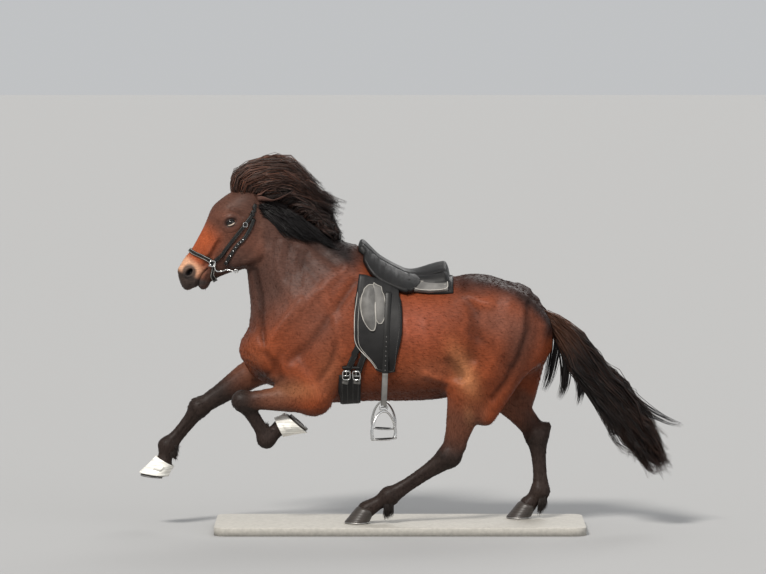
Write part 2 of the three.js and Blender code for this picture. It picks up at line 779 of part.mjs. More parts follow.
const SIDE_LINES = [
  [[-640, 1560], [-588, 1538], [-520, 1494], [-446, 1440], [-384, 1408]],
  [[-646, 1530], [-612, 1500], [-566, 1452], [-514, 1416], [-462, 1394]],
  [[-560, 1540], [-508, 1508], [-446, 1466], [-388, 1422], [-338, 1400]],
  [[-474, 1490], [-430, 1462], [-386, 1426], [-344, 1392], [-300, 1380]],
];
const LOCK = { arc: 176, side: 46, thickness: 14, steps: 4, jitter: 8 };

// Random numbers from -1 to 1, the same in each run
function seeded(seed) {
  let state = seed;
  return () => {
    state = (state * 1664525 + 1013904223) % 4294967296;
    return state / 2147483648 - 1;
  };
}

// A flat lock that bends along a path and tapers to its tip.
// Turn sets which way its ridge faces: 0 up, 90 to the right.
function lock(path, turn, width, thickness, steps = LOCK.steps) {
  const curve = new THREE.CatmullRomCurve3(path.map(point));
  const [aside, upright] = [Math.sin(THREE.MathUtils.degToRad(turn)), Math.cos(THREE.MathUtils.degToRad(turn))];
  return ringTube(
    Array.from({ length: steps + 1 }, (_, i) => {
      const share = i / steps;
      const size = 0.05 + 0.95 * Math.pow(Math.sin(Math.PI * mix(0.3, 1, share)), 0.7);
      const middle = curve.getPoint(share);
      const along = curve.getTangent(share);
      const ridge = new THREE.Vector3(-along.z * upright, aside, along.x * upright);
      ridge.addScaledVector(along, -ridge.dot(along)).normalize();
      const across = along.clone().cross(ridge).multiplyScalar((width / 2) * size);
      return [
        middle.clone().sub(across),
        middle.clone().add(across),
        middle.clone().addScaledVector(ridge, thickness * size),
      ];
    }),
  );
}

// Locks over the crest: a row of them side by side follows each line, and the rows lie over one another
function crestLocks(lines, rows, seed) {
  const random = seeded(seed);
  return lines.flatMap((line, row) =>
    Array.from({ length: rows[row] }, (_, i) => {
      const lean = (((i + 0.5) / rows[row]) * 2 - 1) * 0.96;
      const drop = SPREAD.sink * (1 - Math.sqrt(1 - lean * lean));
      const path = line.map(([x, z], j) => {
        const share = j / (line.length - 1);
        const [dx, dz] = [random(), random()].map((v) => v * LOCK.jitter * share * share);
        return [x + dx, SPREAD.y[j] * lean, z + dz - drop * Math.min(share * 2, 1)];
      });
      return lock(path, lean * SPREAD.turn, LOCK.arc / rows[row], LOCK.thickness);
    }),
  );
}

// Locks that lie back along one side of the neck, below the crest
function sideLocks(side, lines) {
  const rest = [-16, 1, 3, 4, 3];
  return lines.map((line) =>
    lock(
      line.map(([x, z], j) => onto(neckField, [x, side * 100, z], rest[j])),
      side * 80,
      LOCK.side,
      LOCK.thickness,
      3,
    ),
  );
}

// Tail: locks side by side round the core, a few within them that reach further, and loose ones
function tailPoint(row, down, across) {
  const i = Math.min(Math.floor(row), TAIL.length - 2);
  const [tx, tz, bx, bz, half] = TAIL[i].map((v, n) => mix(v, TAIL[i + 1][n], row - i));
  return [mix(tx, bx, down), across * half * 0.78, mix(tz, bz, down)];
}
const TAIL_LOCKS = { around: 9, within: 3, width: 43, thickness: 24, steps: 5, seed: 29 };
const TAIL_WISPS = [
  [[1040, 690], [1160, 588], [1262, 528], [1344, 502]],
  [[744, 930], [738, 850], [716, 740], [690, 668]],
  [[776, 880], [790, 780], [784, 690], [762, 634]],
  [[824, 800], [856, 724], [862, 660], [850, 606]],
];
function tailLocks() {
  const random = seeded(TAIL_LOCKS.seed);
  const { around, within, width, thickness, steps } = TAIL_LOCKS;
  const long = Array.from({ length: around + within }, (_, i) => {
    const inner = i >= around;
    const turn = ((i + 0.5) / around) * 360;
    const across = inner ? 0 : Math.sin(THREE.MathUtils.degToRad(turn));
    const down = inner ? 0.3 + 0.2 * (i - around) : 0.5 - 0.36 * Math.cos(THREE.MathUtils.degToRad(turn));
    const [first, last] = inner ? [3.4, 8.9] : [0.3 + 0.5 * (i % 3), 8 + 0.8 * random()];
    const path = Array.from({ length: 6 }, (_, j) =>
      tailPoint(mix(first, last, j / 5), 0.5 + (down - 0.5) * mix(0.8, 1.25, j / 5), across),
    );
    return lock(path, inner ? 0 : turn, width, thickness, steps);
  });
  const loose = TAIL_WISPS.map((line, i) =>
    lock(line.map(([x, z]) => [x, (i - 1.5) * 14, z]), 20, 26, 12, 4),
  );
  return [...long, ...loose];
}

// Feather: long hair behind a fetlock, which hangs to the heel on the hind legs
const FEATHER = { width: 54, thickness: 15, steps: 3, hang: 60, apart: 20, rows: [[34, 8], [30, 40]] };
function featherLocks(leg) {
  const { toe } = hoofFrame(leg);
  const joint = point(leg.fetlock);
  const down = coronet(leg).sub(joint).normalize();
  const back = toe.clone().negate().addScaledVector(down, toe.dot(down)).normalize();
  const at = (out, along, wide) =>
    joint.clone().addScaledVector(back, out).addScaledVector(down, along).addScaledVector(SIDE, wide).toArray();
  const rows = leg.hock ? FEATHER.rows : FEATHER.rows.slice(0, 1);
  return rows.flatMap(([out, along]) =>
    [LEFT, RIGHT].map((side) => {
      const wide = side * FEATHER.apart;
      const middle = at(out, along, wide);
      const hanging = [middle[0] - 6, middle[1], middle[2] - FEATHER.hang];
      const tip = leg.hock ? hanging : at(out + 24, along + 22, wide * 0.7);
      const path = [at(out - 26, along - 12, wide * 0.7), middle, tip];
      return lock(path, side * 90, FEATHER.width, FEATHER.thickness, FEATHER.steps);
    }),
  );
}

// Flesh nodes
const headBlend = fieldOf([...headLofts, neck]);
const HEAD_BACK = { at: [-614, 0, 1700], turn: 92 };
const HEAD_UNDER = { at: [-741, 0, 1240], turn: -21.8 };
function headRoom(gap) {
  const behind = block([HEAD_BACK.at[0] - gap, 0, 1500], HEAD_BACK.turn, [1400, 600, 700]);
  const above = block([HEAD_UNDER.at[0], 0, HEAD_UNDER.at[2] + gap], HEAD_UNDER.turn + 180, [1600, 600, 900]);
  return behind.intersect(above);
}
const hairBox = even([-860, -110, 1330], [-220, 110, 1850], [60, 44, 60]);
const hairCore = solid(nets(fieldOf([outline(coreRows(MANE, 0), 20)]), hairBox));
const torsoWhole = solid(
  nets(bodyField, [
    axis([[-800, 57], [-250, 70], [0, 110], [300, 72], [800, 60]]),
    axis([[-360, 47], [-100, 68], [100, 68], [360, 47]]),
    axis([[520, 52], [700, 60], [950, 86], [1420, 67]]),
  ]),
);
const neckField = fieldOf([...torsoLofts, ...headLofts]);
const neckWhole = solid(nets(neckField, even([-860, -240, 880], [-90, 240, 1690], [70, 60, 70])));
const headWhole = solid(
  nets(headBlend, [
    axis([[-1110, 24], [-980, 28], [-780, 50], [-560, 66]]),
    axis([[-135, 29], [-40, 33], [40, 33], [135, 29]]),
    axis([[1100, 24], [1260, 33], [1420, 48], [1690, 60]]),
  ]),
);

const NECK_CUT = { at: [-470, 0, 1155], turn: -38.3 };
const chestSide = (gap) => block([NECK_CUT.at[0], 0, NECK_CUT.at[2] - gap], NECK_CUT.turn, [2200, 900, 1500]);
const headLocks = crestLocks(FORELOCK_LINES, [5, 4, 3], 5);
const neckLocks = [
  ...crestLocks(MANE_LINES, [4, 3, 3, 2], 11),
  ...sideLocks(LEFT, SIDE_LINES),
  ...sideLocks(RIGHT, SIDE_LINES.filter((_, i) => i !== 1)),
];
parts.head = largest(join(join(headWhole, hairCore).intersect(headRoom(GAP / 2)), ...headLocks));
const neckAlone = cut(join(neckWhole, hairCore), headRoom(-GAP / 2), chestSide(-GAP / 2));
parts.neck = cut(join(neckAlone, ...neckLocks), wrap("head"), parts.head);
parts.torso = largest(torsoWhole.intersect(chestSide(GAP / 2)));

// Legs: the hind ones part from the torso at a plane, the fore ones are cut out of the chest
const HIND_CUT = { at: [200, 165, 620], turn: -5.7, size: [1100, 322, 760] };
const hindRoom = ({ side }, gap) =>
  block([HIND_CUT.at[0], side * HIND_CUT.at[1], HIND_CUT.at[2] - gap], HIND_CUT.turn, HIND_CUT.size);
const LEG_STEP = [37, 31, 38];

function legSolid(leg, lofts, joints, room) {
  const low = [0, 1, 2].map((i) => Math.min(...joints.map((j) => j[i])) - 130);
  const high = [0, 1, 2].map((i) => Math.max(...joints.map((j) => j[i])) + 130);
  const frame = hoofFrame(leg);
  const under = ringTube([hoofRing(frame, -0.5, 1.25, GAP), hoofRing(frame, 1 + GAP / 40, 1.2, GAP)]);
  const bare = solid(nets(fieldOf(lofts), even(low, high, LEG_STEP)));
  return cut(join(bare, ...featherLocks(leg)).intersect(room), under);
}

// The pastern, with its feather, parts from the leg at a plane above the fetlock
const PASTERN_CUT = { above: 34, size: [360, 240, 320] };
function pasternRoom(leg, gap) {
  const along = point(leg.fetlock).sub(point(leg.knee ?? leg.hock)).setY(0).normalize();
  const at = point(leg.fetlock).addScaledVector(along, -PASTERN_CUT.above - gap).toArray();
  return block(at, THREE.MathUtils.radToDeg(Math.atan2(-along.x, -along.z)), PASTERN_CUT.size);
}

const legs = [
  ["left", FORE_LEFT, HIND_LEFT, block([-440, 0, 600], 90, [700, 700, 700])],
  ["right", FORE_RIGHT, HIND_RIGHT, block([-672, 0, 790], 58, [700, 700, 1200])],
];
for (const [name, fore, hind, room] of legs) {
  const wholeFore = legSolid(fore, foreLeg(fore), [fore.elbow, fore.knee, fore.fetlock, fore.sole], room);
  const upper = [hind.stifle, hind.hamstring, hind.hock, hind.fetlock, hind.sole];
  const wholeHind = legSolid(hind, [...hindGirdle(hind), ...hindLeg(hind)], upper, hindRoom(hind, GAP));
  for (const [end, leg, whole] of [["fore", fore, wholeFore], ["hind", hind, wholeHind]]) {
    parts[end + "leg_" + name] = cut(whole, pasternRoom(leg, GAP));
    parts["pastern_" + end + "_" + name] = largest(whole.intersect(pasternRoom(leg, 0)));
  }
  parts.torso = cut(parts.torso, hindRoom(hind, 0), wrap("foreleg_" + name));
}

// Hooves, shoes and the white bell boots on the fore hooves
function shoeGrid(frame, level) {
  const steps = 7;
  return Array.from({ length: steps + 1 }, (_, i) => {
    const angle = THREE.MathUtils.degToRad(-142 + (284 * i) / steps);
    return [1, 0.66].map((scale) => {
      const reach = (Math.cos(angle) > 0 ? HOOF.toe : HOOF.heel * 0.86) * scale - 1;
      return frame.sole
        .clone()
        .addScaledVector(frame.toe, Math.cos(angle) * reach)
        .addScaledVector(SIDE, Math.sin(angle) * (HOOF.halfWidth * scale - 1))
        .addScaledVector(frame.up, level)
        .toArray();
    });
  });
}
for (const side of ["left", "right"]) {
  const pair = side === "left" ? [FORE_LEFT, HIND_LEFT] : [FORE_RIGHT, HIND_RIGHT];
  ["fore", "hind"].forEach((end, i) => {
    const frame = hoofFrame(pair[i]);
    const name = end + "_" + side;
    parts["hoof_" + name] = solid(hoofGeometry(frame));
    parts["shoe_" + name] = sheet(shoeGrid(frame, -GAP - SHOE.thickness), shoeGrid(frame, -GAP));
  });
  const frame = hoofFrame(pair[0]);
  const bell = ringTube([
    hoofRing(frame, 0.1, 1.02, 12),
    hoofRing(frame, 0.9, HOOF.top, 11),
    hoofRing(frame, 1.3, HOOF.top * 0.94, 14),
  ]);
  const inside = ringTube([
    hoofRing(frame, -0.2, 1.02, GAP * 2),
    hoofRing(frame, 0.5, 0.94, GAP * 2),
    hoofRing(frame, 0.9, HOOF.top, 5),
    hoofRing(frame, 1.5, HOOF.top * 0.94, 11),
  ]);
  parts["bell_boot_" + side] = cut(bell, inside);
}

// Tail
const tailBox = even([640, -110, 220], [1320, 110, 1120], [60, 40, 60]);
const tailCore = solid(nets(fieldOf([outline(coreRows(TAIL.slice(0, CORE.tailRows), 0.22), 20)]), tailBox));
parts.tail = cut(join(tailCore, ...tailLocks()), wrap("torso"));

// Eyes, lids, nostrils and mouth
for (const [name, side] of [["left", LEFT], ["right", RIGHT]]) {
  const at = [EYE.x, side * EYE.y, EYE.z];
  parts["eye_" + name] = ballSolid(at, [EYE.radius, EYE.radius, EYE.radius]);
  const lid = (lift, drop) => {
    const path = [-30, -16, 0, 16, 29].map((x, i) => {
      const rise = [-4, lift * 0.7, lift, lift * 0.62, -2 + drop][i];
      return onto(headBlend, [at[0] + x * 0.93, side * (EYE.y + 8), at[2] + rise - x * 0.36], 1);
    });
    return bar(path, 7, 6, 6, 5);
  };
  parts.head = join(parts.head, lid(17, 0), lid(-15, 0));
  parts.head = cut(
    parts.head,
    ballSolid(at, [EYE.radius + GAP, EYE.radius + GAP, EYE.radius + GAP]),
    ballSolid([-1008, side * 54, 1238], [21, 15, 11], 58, 8, 6),
  );
}
const MOUTH = [[-966, 1140], [-954, 1190], [-938, 1222], [-916, 1250]];
const mouth = MOUTH.map(([x, z]) => [[x - 1.6, -80, z], [x - 1.6, 80, z]]);
const mouthBack = MOUTH.map(([x, z]) => [[x + 1.6, -80, z], [x + 1.6, 80, z]]);
parts.head = cut(parts.head, sheet(mouth, mouthBack));

// Ears: a cup is its outer shape less a smaller one moved towards the opening
function ear(root, tip, open) {
  const a = point(root);
  const b = point(tip);
  const along = b.clone().sub(a);
  const length = along.length();
  along.normalize();
  const face = point(open).sub(along.clone().multiplyScalar(point(open).dot(along))).normalize();
  const side = along.clone().cross(face);
  const rings = (grow, shift, from) =>
    [[0, 21], [0.3, 32], [0.58, 28], [0.82, 17], [1, 3]].map(([share, half]) => {
      const wide = Math.max(half - grow, 0.8);
      return Array.from({ length: 8 }, (_, i) => {
        const angle = (i / 8) * Math.PI * 2;
        return a
          .clone()
          .addScaledVector(along, length * (from + share * (1 - from)) + (share === 1 ? -grow : 0))
          .addScaledVector(side, Math.cos(angle) * wide)
          .addScaledVector(face, Math.sin(angle) * wide * 0.72 + shift);
      });
    });
  const whole = ringTube(rings(0, 0, 0));
  return { whole, cup: whole.subtract(ringTube(rings(6, 13, 0.14))) };
}
const ears = {
  ear_left: ear([-655, -58, 1592], [-506, -104, 1620], [0.15, -0.75, 0.65]),
  ear_right: ear([-668, 50, 1596], [-612, 92, 1706], [-0.5, 0.85, 0]),
};
for (const [name, { whole, cup }] of Object.entries(ears)) {
  parts[name] = largest(cup);
  for (const near of ["head", "neck"]) parts[near] = cut(parts[near], grown(whole, GAP * 1.3));
}

// Saddle: panels, girth, billets, flaps, seat and knee rolls, each cut by what lies beneath it
const barrel = fieldOf([trunk, ...forePair.flatMap(foreGirdle)]);
const STRAP = { thickness: 4 };
const SEAT = { front: -198, back: 236, waist: 84, cantle: 158, pommel: 112 };
const FLAP = { top: 1272, bottom: 762, front: -190, back: 10 };
const GIRTH = { x: -236, width: 96, top: 706, thickness: 10 };
const spineHeight = (x) => {
  const i = Math.max(TRUNK.findIndex(([at]) => at > x), 1);
  return mix(TRUNK[i - 1][1], TRUNK[i][1], (x - TRUNK[i - 1][0]) / (TRUNK[i][0] - TRUNK[i - 1][0]));
};

// A point beside the back, as far from the spine as asked along a curve that falls away
function besideSpine(x, offset) {
  const drop = (offset * offset) / 420;
  return [x, offset * 0.96, spineHeight(x) - drop];
}

function girthPoint(angle, shift) {
  const turn = THREE.MathUtils.degToRad(angle);
  return [GIRTH.x + shift, Math.sin(turn) * 250, 850 - Math.cos(turn) * 240];
}
parts.girth = cut(
  draped(barrel, 12, 1, (u, v) => girthPoint(-64 + 128 * u, (v - 0.5) * GIRTH.width), -12, GIRTH.thickness),
  wrap("torso"),
);

for (const [name, side] of [["left", LEFT], ["right", RIGHT]]) {
  const panel = (u, v) => besideSpine(mix(-120, 252, u), side * mix(34, 150 + 24 * u, v));
  const padded = (u, v) => {
    const swell = 26 * Math.pow(Math.sin(Math.PI * mix(0.12, 0.88, u)), 0.4);
    return swell * (0.6 + 0.4 * Math.sin(Math.PI * v));
  };
  parts["saddle_panel_" + name] = cut(draped(barrel, 5, 2, panel, -8, padded), wrap("torso"));

  [-258, -214].forEach((x, i) => {
    const path = [
      [x + 60, side * 262, 900],
      [x + 36, side * 262, 840],
      [x + 14, side * 250, 770],
      [x, side * 232, 712],
    ];
    const made = strap(barrel, path, 30, STRAP.thickness + GIRTH.thickness, 3);
    parts["billet_" + name + "_" + (i + 1)] = cut(made, wrap("torso"), wrap("girth"));
  });

  const flap = (u, v) => {
    const bulge = Math.sin(Math.PI * Math.min(u * 0.92, 1)) * 34;
    const front = mix(FLAP.front, FLAP.front + 74, smooth(u, 0.7, 1)) - bulge * (1 - smooth(u, 0.75, 1));
    const back = mix(FLAP.back, FLAP.back - 34, smooth(u, 0.6, 1));
    return [mix(front, back, v), side * 262, mix(FLAP.top, FLAP.bottom + 40 * (v - 0.5) ** 2, u)];
  };
  const over = (u) => 15 + 13 * (1 - smooth(u, 0, 0.35));
  parts["saddle_flap_" + name] = cut(
    draped(barrel, 7, 3, flap, -12, over),
    wrap("torso"),
    wrap("saddle_panel_" + name),
    wrap("girth"),
    wrap("billet_" + name + "_1"),
    wrap("billet_" + name + "_2"),
  );
  const roll = (u, v) => {
    const front = mix(-172, -196, Math.sin(Math.PI * u)) + 4;
    return [front + 78 * v - 16 * v * u, side * 262, mix(1206, 968, u)];
  };
  const bulge = (u, v) => {
    const rise = Math.sin(Math.PI * mix(0.12, 0.88, v)) * Math.sin(Math.PI * mix(0.1, 0.9, u));
    return over(mix(0.1, 0.6, u)) + 1 + 24 * rise;
  };
  parts["knee_roll_" + name] = cut(draped(barrel, 5, 3, roll, 2, bulge), wrap("saddle_flap_" + name));
}

const seat = (u, v) => {
  const x = mix(SEAT.front, SEAT.back, u);
  const half = mix(mix(SEAT.pommel, SEAT.waist, smooth(u, 0, 0.35)), SEAT.cantle, smooth(u, 0.4, 0.85));
  const round = Math.sqrt(Math.max(1 - Math.pow(Math.abs(u - 0.55) / 0.62, 6), 0.08));
  return besideSpine(x, (v - 0.5) * 2 * half * round);
};
const padding = (u, v) => {
  const spine = 1 - Math.abs(v - 0.5) * 2;
  const crown = mix(52, 40, smooth(u, 0, 0.3)) + 42 * smooth(u, 0.5, 0.9);
  return mix(26, crown, Math.pow(spine, 0.5) * (1 - 0.2 * smooth(u, 0.95, 1)));
};
const panels = ["saddle_panel_left", "saddle_panel_right", "saddle_flap_left", "saddle_flap_right"];
const rolls = ["knee_roll_left", "knee_roll_right"];
const seatWhole = cut(draped(barrel, 8, 6, seat, -14, padding), ...["torso", "neck", ...rolls].map(wrap));
parts.saddle_seat = cut(seatWhole, ...panels.map((name) => grown(parts[name], 1)));

// Buckles on the billets, stirrup leathers and stirrups
const BUCKLE = { width: 40, height: 46, wire: 3 };
function loop(at, out, width, height, wire, steps = 8) {
  const n = point(out).normalize();
  const up = new THREE.Vector3(0, 0, 1).sub(n.clone().multiplyScalar(n.z)).normalize();
  const across = up.clone().cross(n);
  const ring = (radius, lift) => (i) => {
    const angle = ((i + 0.5) / steps) * Math.PI * 2;
    const [c, d] = [Math.cos(angle), Math.sin(angle)].map((w) => Math.sign(w) * Math.pow(Math.abs(w), 0.5));
    return point(at)
      .addScaledVector(across, c * (width / 2 + radius))
      .addScaledVector(up, d * (height / 2 + radius))
      .addScaledVector(n, lift)
      .toArray();
  };
  const corners = [ring(-wire, -wire), ring(wire, -wire), ring(wire, wire), ring(-wire, wire)];
  const positions = [];
  const faces = [];
  for (let i = 0; i < steps; i++) for (const corner of corners) positions.push(...corner(i));
  for (let i = 0; i < steps; i++) {
    for (let j = 0; j < 4; j++) {
      const [a, b] = [i * 4 + j, i * 4 + ((j + 1) % 4)];
      const [c, d] = [((i + 1) % steps) * 4 + j, ((i + 1) % steps) * 4 + ((j + 1) % 4)];
      faces.push(a, c, d, a, d, b);
    }
  }
  return solid(shell(positions, faces));
}

const STIRRUP = { x: -78, top: 604, width: 118, drop: 150, tread: 40, turn: 32, bar: 6 };
function stirrup(side, y) {
  const turn = THREE.MathUtils.degToRad(STIRRUP.turn * -side);
  const place = ([a, b, z]) => [
    STIRRUP.x + a * Math.cos(turn) - b * Math.sin(turn),
    y + a * Math.sin(turn) + b * Math.cos(turn),
    STIRRUP.top + z,
  ];
  const half = STIRRUP.width / 2;
  const out = [-Math.sin(turn), Math.cos(turn), 0];
  const bow = [[-half, -STIRRUP.drop], [-half - 7, -112], [-half + 6, -62], [-26, -26], [0, -17]];
  const otherHalf = bow.slice(0, -1).reverse().map(([a, z]) => [-a, z]);
  const path = [...bow, ...otherHalf].map(([a, z]) => place([a, 0, z]));
  const arch = bar(path, 5, 7, 8, 5, out);
  const ends = [-half - 4, half + 4].map((a) => place([a, 0, -STIRRUP.drop]));
  const tread = bar(ends, 5, STIRRUP.tread / 2, 1, 6, out);
  return join(arch, tread, loop(place([0, 0, 0]), out, 46, 22, 5, 6));
}
for (const [name, side] of [["left", LEFT], ["right", RIGHT]]) {
  const surface = (z) => onto(barrel, [-62, side * 262, z], 27)[1];
  const widest = surface(890);
  const grid = (out) =>
    Array.from({ length: 6 }, (_, i) => {
      const z = mix(1150, STIRRUP.top + 4, i / 5);
      const y = (z > 890 ? surface(z) : widest) + side * (out - 12);
      const x = mix(-56, STIRRUP.x, i / 5);
      return [-14, 14].map((w) => [x + w, y, z]);
    });
  const leather = side < 0 ? sheet(grid(5), grid(0)) : sheet(grid(0), grid(5));
  const below = ["saddle_flap_", "knee_roll_"].map((part) => part + name);
  parts["stirrup_leather_" + name] = cut(leather, ...[...below, "saddle_seat", "torso"].map(wrap));
  parts["stirrup_" + name] = cut(stirrup(side, widest + side * -9.5), wrap("stirrup_leather_" + name));
  [1, 2].forEach((i) => {
    const made = parts["billet_" + name + "_" + i];
    const at = onto(barrel, [[-252, -210][i - 1], side * 240, 744], STRAP.thickness + GIRTH.thickness + 0.5);
    const out = gradient(barrel, ...at).way;
    const lift = point(at).addScaledVector(point(out), BUCKLE.wire).toArray();
    const ring = loop(lift, out, BUCKLE.width - 4, BUCKLE.height, BUCKLE.wire, 6);
    parts["buckle_" + name + "_" + i] = cut(ring, grown(made, GAP), ...["girth", "saddle_flap_" + name].map(wrap));
  });
}

// Bridle: the cheek pieces, noseband and bit, without reins
const FACE = { cheek: 17, thickness: 6.5 };
const skull = fieldOf([...headLofts]);
for (const [name, side] of [["left", LEFT], ["right", RIGHT]]) {
  const on = (x, z, y = 90) => [x, side * y, z];
  const cheek = [
    on(-892, 1268, 60),
    on(-855, 1308),
    on(-808, 1365),
    on(-760, 1427),
    on(-718, 1480),
    on(-690, 1516),
    on(-684, 1556, 70),
  ];
  const second = [
    on(-832, 1262, 70),
    on(-798, 1322),
    on(-769, 1364),
    on(-741, 1391),
    on(-712, 1436),
    on(-688, 1484),
  ];
  parts["cheekpiece_" + name] = strap(skull, cheek, FACE.cheek, FACE.thickness, 6);
  parts["cheek_strap_" + name] = strap(skull, second, FACE.cheek, FACE.thickness, 5);
  for (const part of ["cheekpiece_", "cheek_strap_"]) {
    parts[part + name] = cut(parts[part + name], ...["head", "neck", "ear_" + name].map(wrap));
  }
}
const NOSE = { middle: [-938, 0, 1272], along: [-0.62, 0, 0.78], lean: 50, width: 22 };
const nose = (u, v) => {
  const angle = (u + 0.505) * 0.99 * Math.PI * 2;
  const back = NOSE.lean * Math.sin(angle) ** 2;
  const across = (v - 0.5) * NOSE.width;
  return [
    NOSE.middle[0] + NOSE.along[0] * Math.cos(angle) * 62 + back * 0.9 - across * 0.78,
    Math.sin(angle) * 62,
    NOSE.middle[2] + NOSE.along[2] * Math.cos(angle) * 62 + back * 0.1 - across * 0.62,
  ];
};
const besides = ["cheekpiece_left", "cheekpiece_right", "cheek_strap_left", "cheek_strap_right"];
parts.noseband = cut(draped(skull, 15, 1, nose, -7, 8), ...["head", ...besides].map(wrap));

const BIT = { ring: 26, wire: 2.6, corner: [-914, 1262] };
const shank = [[-884, 1272], [-872, 1234], [-848, 1226], [-822, 1242], [-790, 1246]];
const mouthEnds = [-66, 66].map((y) => [BIT.corner[0] + 6, y, BIT.corner[1]]);
const mouthBar = bar(mouthEnds, 6, 6, 1, 4, [0, 0, 1]);
const bitSides = [LEFT, RIGHT].map((side) => {
  const at = (x, z, level) => onto(skull, [x, side * 70, z], level);
  const path = shank.map(([x, z]) => at(x, z, 15));
  const cheekRing = loop(at(-890, 1272, 14), [0, side, 0], BIT.ring, BIT.ring, BIT.wire, 6);
  const rein = loop(at(-778, 1247, 15), [0, side, 0], 14, 14, BIT.wire, 6);
  const link = bar([[BIT.corner[0] + 6, side * 62, BIT.corner[1]], at(-896, 1268, 14)], 5, 5, 1, 4, [0, 0, 1]);
  return join(bar(path, 4, 4, 6, 4, [0, 1, 0]), cheekRing, rein, link);
});
const bit = join(mouthBar, ...bitSides);
parts.bit = cut(bit, ...["noseband", ...besides].map(wrap));
for (const part of ["head", "neck"]) parts[part] = cut(parts[part], grown(parts.bit, GAP * 1.3));

// Display base
function plate({ length, width, thickness, corner }) {
  const shape = new THREE.Shape();
  const [x, y] = [length / 2 - corner, width / 2 - corner];
  shape.absarc(x, y, corner, 0, Math.PI / 2);
  shape.absarc(-x, y, corner, Math.PI / 2, Math.PI);
  shape.absarc(-x, -y, corner, Math.PI, Math.PI * 1.5);
  shape.absarc(x, -y, corner, Math.PI * 1.5, Math.PI * 2);
  return solid(new THREE.ExtrudeGeometry(shape, { depth: thickness, bevelEnabled: false, curveSegments: 3 }));
}
parts.stand_base = plate(BASE);

// Colours by the start of the node's name
const COLOURS = [
  ["head", 0x5a2c1c],
  ["neck", 0x3a211a],
  ["torso", 0x74402a],
  ["foreleg", 0x2e201c],
  ["hindleg", 0x4a2a1e],
  ["pastern", 0x241a18],
  ["tail", 0x1c1516],
  ["ear", 0x4a281c],
  ["eye", 0x120c0a],
  ["hoof", 0x2c2723],
  ["shoe", 0x8d8c88],
  ["bell_boot", 0xe8e8e4],
  ["stand", 0xa9a396],
  ["stirrup_leather", 0x1a1918],
  ["stirrup", 0xc9cacb],
  ["buckle", 0xc9cacb],
  ["bit", 0xb9b9b8],
  ["saddle", 0x191817],
  ["knee_roll", 0x55565a],
  ["", 0x1d1b1b],
];

const horse = new THREE.Group();
for (const [name, made] of Object.entries(parts)) {
  const [, color] = COLOURS.find(([start]) => name.startsWith(start));
  const material = new THREE.MeshStandardMaterial({ color, roughness: 0.6, metalness: 0 });
  const mesh = new THREE.Mesh(geometryOf(made), material);
  mesh.name = name;
  horse.add(mesh);
}

export default horse;
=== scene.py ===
"""Looks of the Icelandic horse in toelt: its skin, hair in mesh locks, tack, base, light and camera.

Sizes are in millimetres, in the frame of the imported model, until a mesh is made, which is in metres.
"""

import math
from functools import cached_property, partial

import bmesh
import bpy
import numpy as np
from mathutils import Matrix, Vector, kdtree


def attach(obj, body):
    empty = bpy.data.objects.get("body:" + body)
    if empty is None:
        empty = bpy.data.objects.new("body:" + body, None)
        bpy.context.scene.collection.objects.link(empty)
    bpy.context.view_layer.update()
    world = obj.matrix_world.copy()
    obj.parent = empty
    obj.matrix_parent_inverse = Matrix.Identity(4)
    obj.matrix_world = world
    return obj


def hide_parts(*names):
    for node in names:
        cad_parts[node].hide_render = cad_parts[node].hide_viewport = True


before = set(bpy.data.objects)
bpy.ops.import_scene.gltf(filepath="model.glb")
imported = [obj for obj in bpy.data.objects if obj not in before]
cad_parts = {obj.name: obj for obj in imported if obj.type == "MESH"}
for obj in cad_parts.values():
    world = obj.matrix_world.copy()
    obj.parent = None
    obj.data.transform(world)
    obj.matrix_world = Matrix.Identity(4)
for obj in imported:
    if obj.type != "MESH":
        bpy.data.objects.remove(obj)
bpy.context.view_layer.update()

MM = 0.001
LEFT, RIGHT = -1, 1
SIDES = ((LEFT, "left"), (RIGHT, "right"))
LEG_NAMES = ("fore_left", "fore_right", "hind_left", "hind_right")
BODY = "root"
FAR = 130.0  # distances are only worked out nearer than this
CHUNK = 12000  # points taken together
SIDE = np.array([0.0, 1.0, 0.0])
BASE_TOP = 40.0
FLOOR = BASE_TOP + 8.7

# Trunk outline: x, top z, bottom z, half width, level of the widest point
TRUNK = [
    (-742, 905, 800, 62, 0.5),
    (-700, 985, 735, 128, 0.5),
    (-620, 1110, 690, 165, 0.48),
    (-500, 1220, 640, 190, 0.45),
    (-360, 1305, 606, 212, 0.42),
    (-214, 1352, 612, 236, 0.4),
    (-90, 1268, 614, 262, 0.42),
    (30, 1208, 615, 276, 0.45),
    (140, 1195, 619, 276, 0.46),
    (240, 1206, 634, 264, 0.47),
    (340, 1222, 668, 250, 0.48),
    (440, 1212, 708, 240, 0.48),
    (540, 1168, 735, 216, 0.48),
    (620, 1106, 758, 178, 0.48),
    (680, 1045, 790, 132, 0.48),
    (718, 985, 850, 70, 0.48),
]
# Neck: crest x, crest z, throat x, throat z, half width
NECK = [
    (-166, 1318, -676, 780, 160),
    (-228, 1350, -708, 960, 150),
    (-285, 1386, -712, 1066, 122),
    (-356, 1444, -722, 1161, 100),
    (-432, 1505, -731, 1246, 84),
    (-508, 1556, -741, 1332, 74),
    (-594, 1596, -746, 1418, 66),
    (-684, 1620, -760, 1512, 55),
]
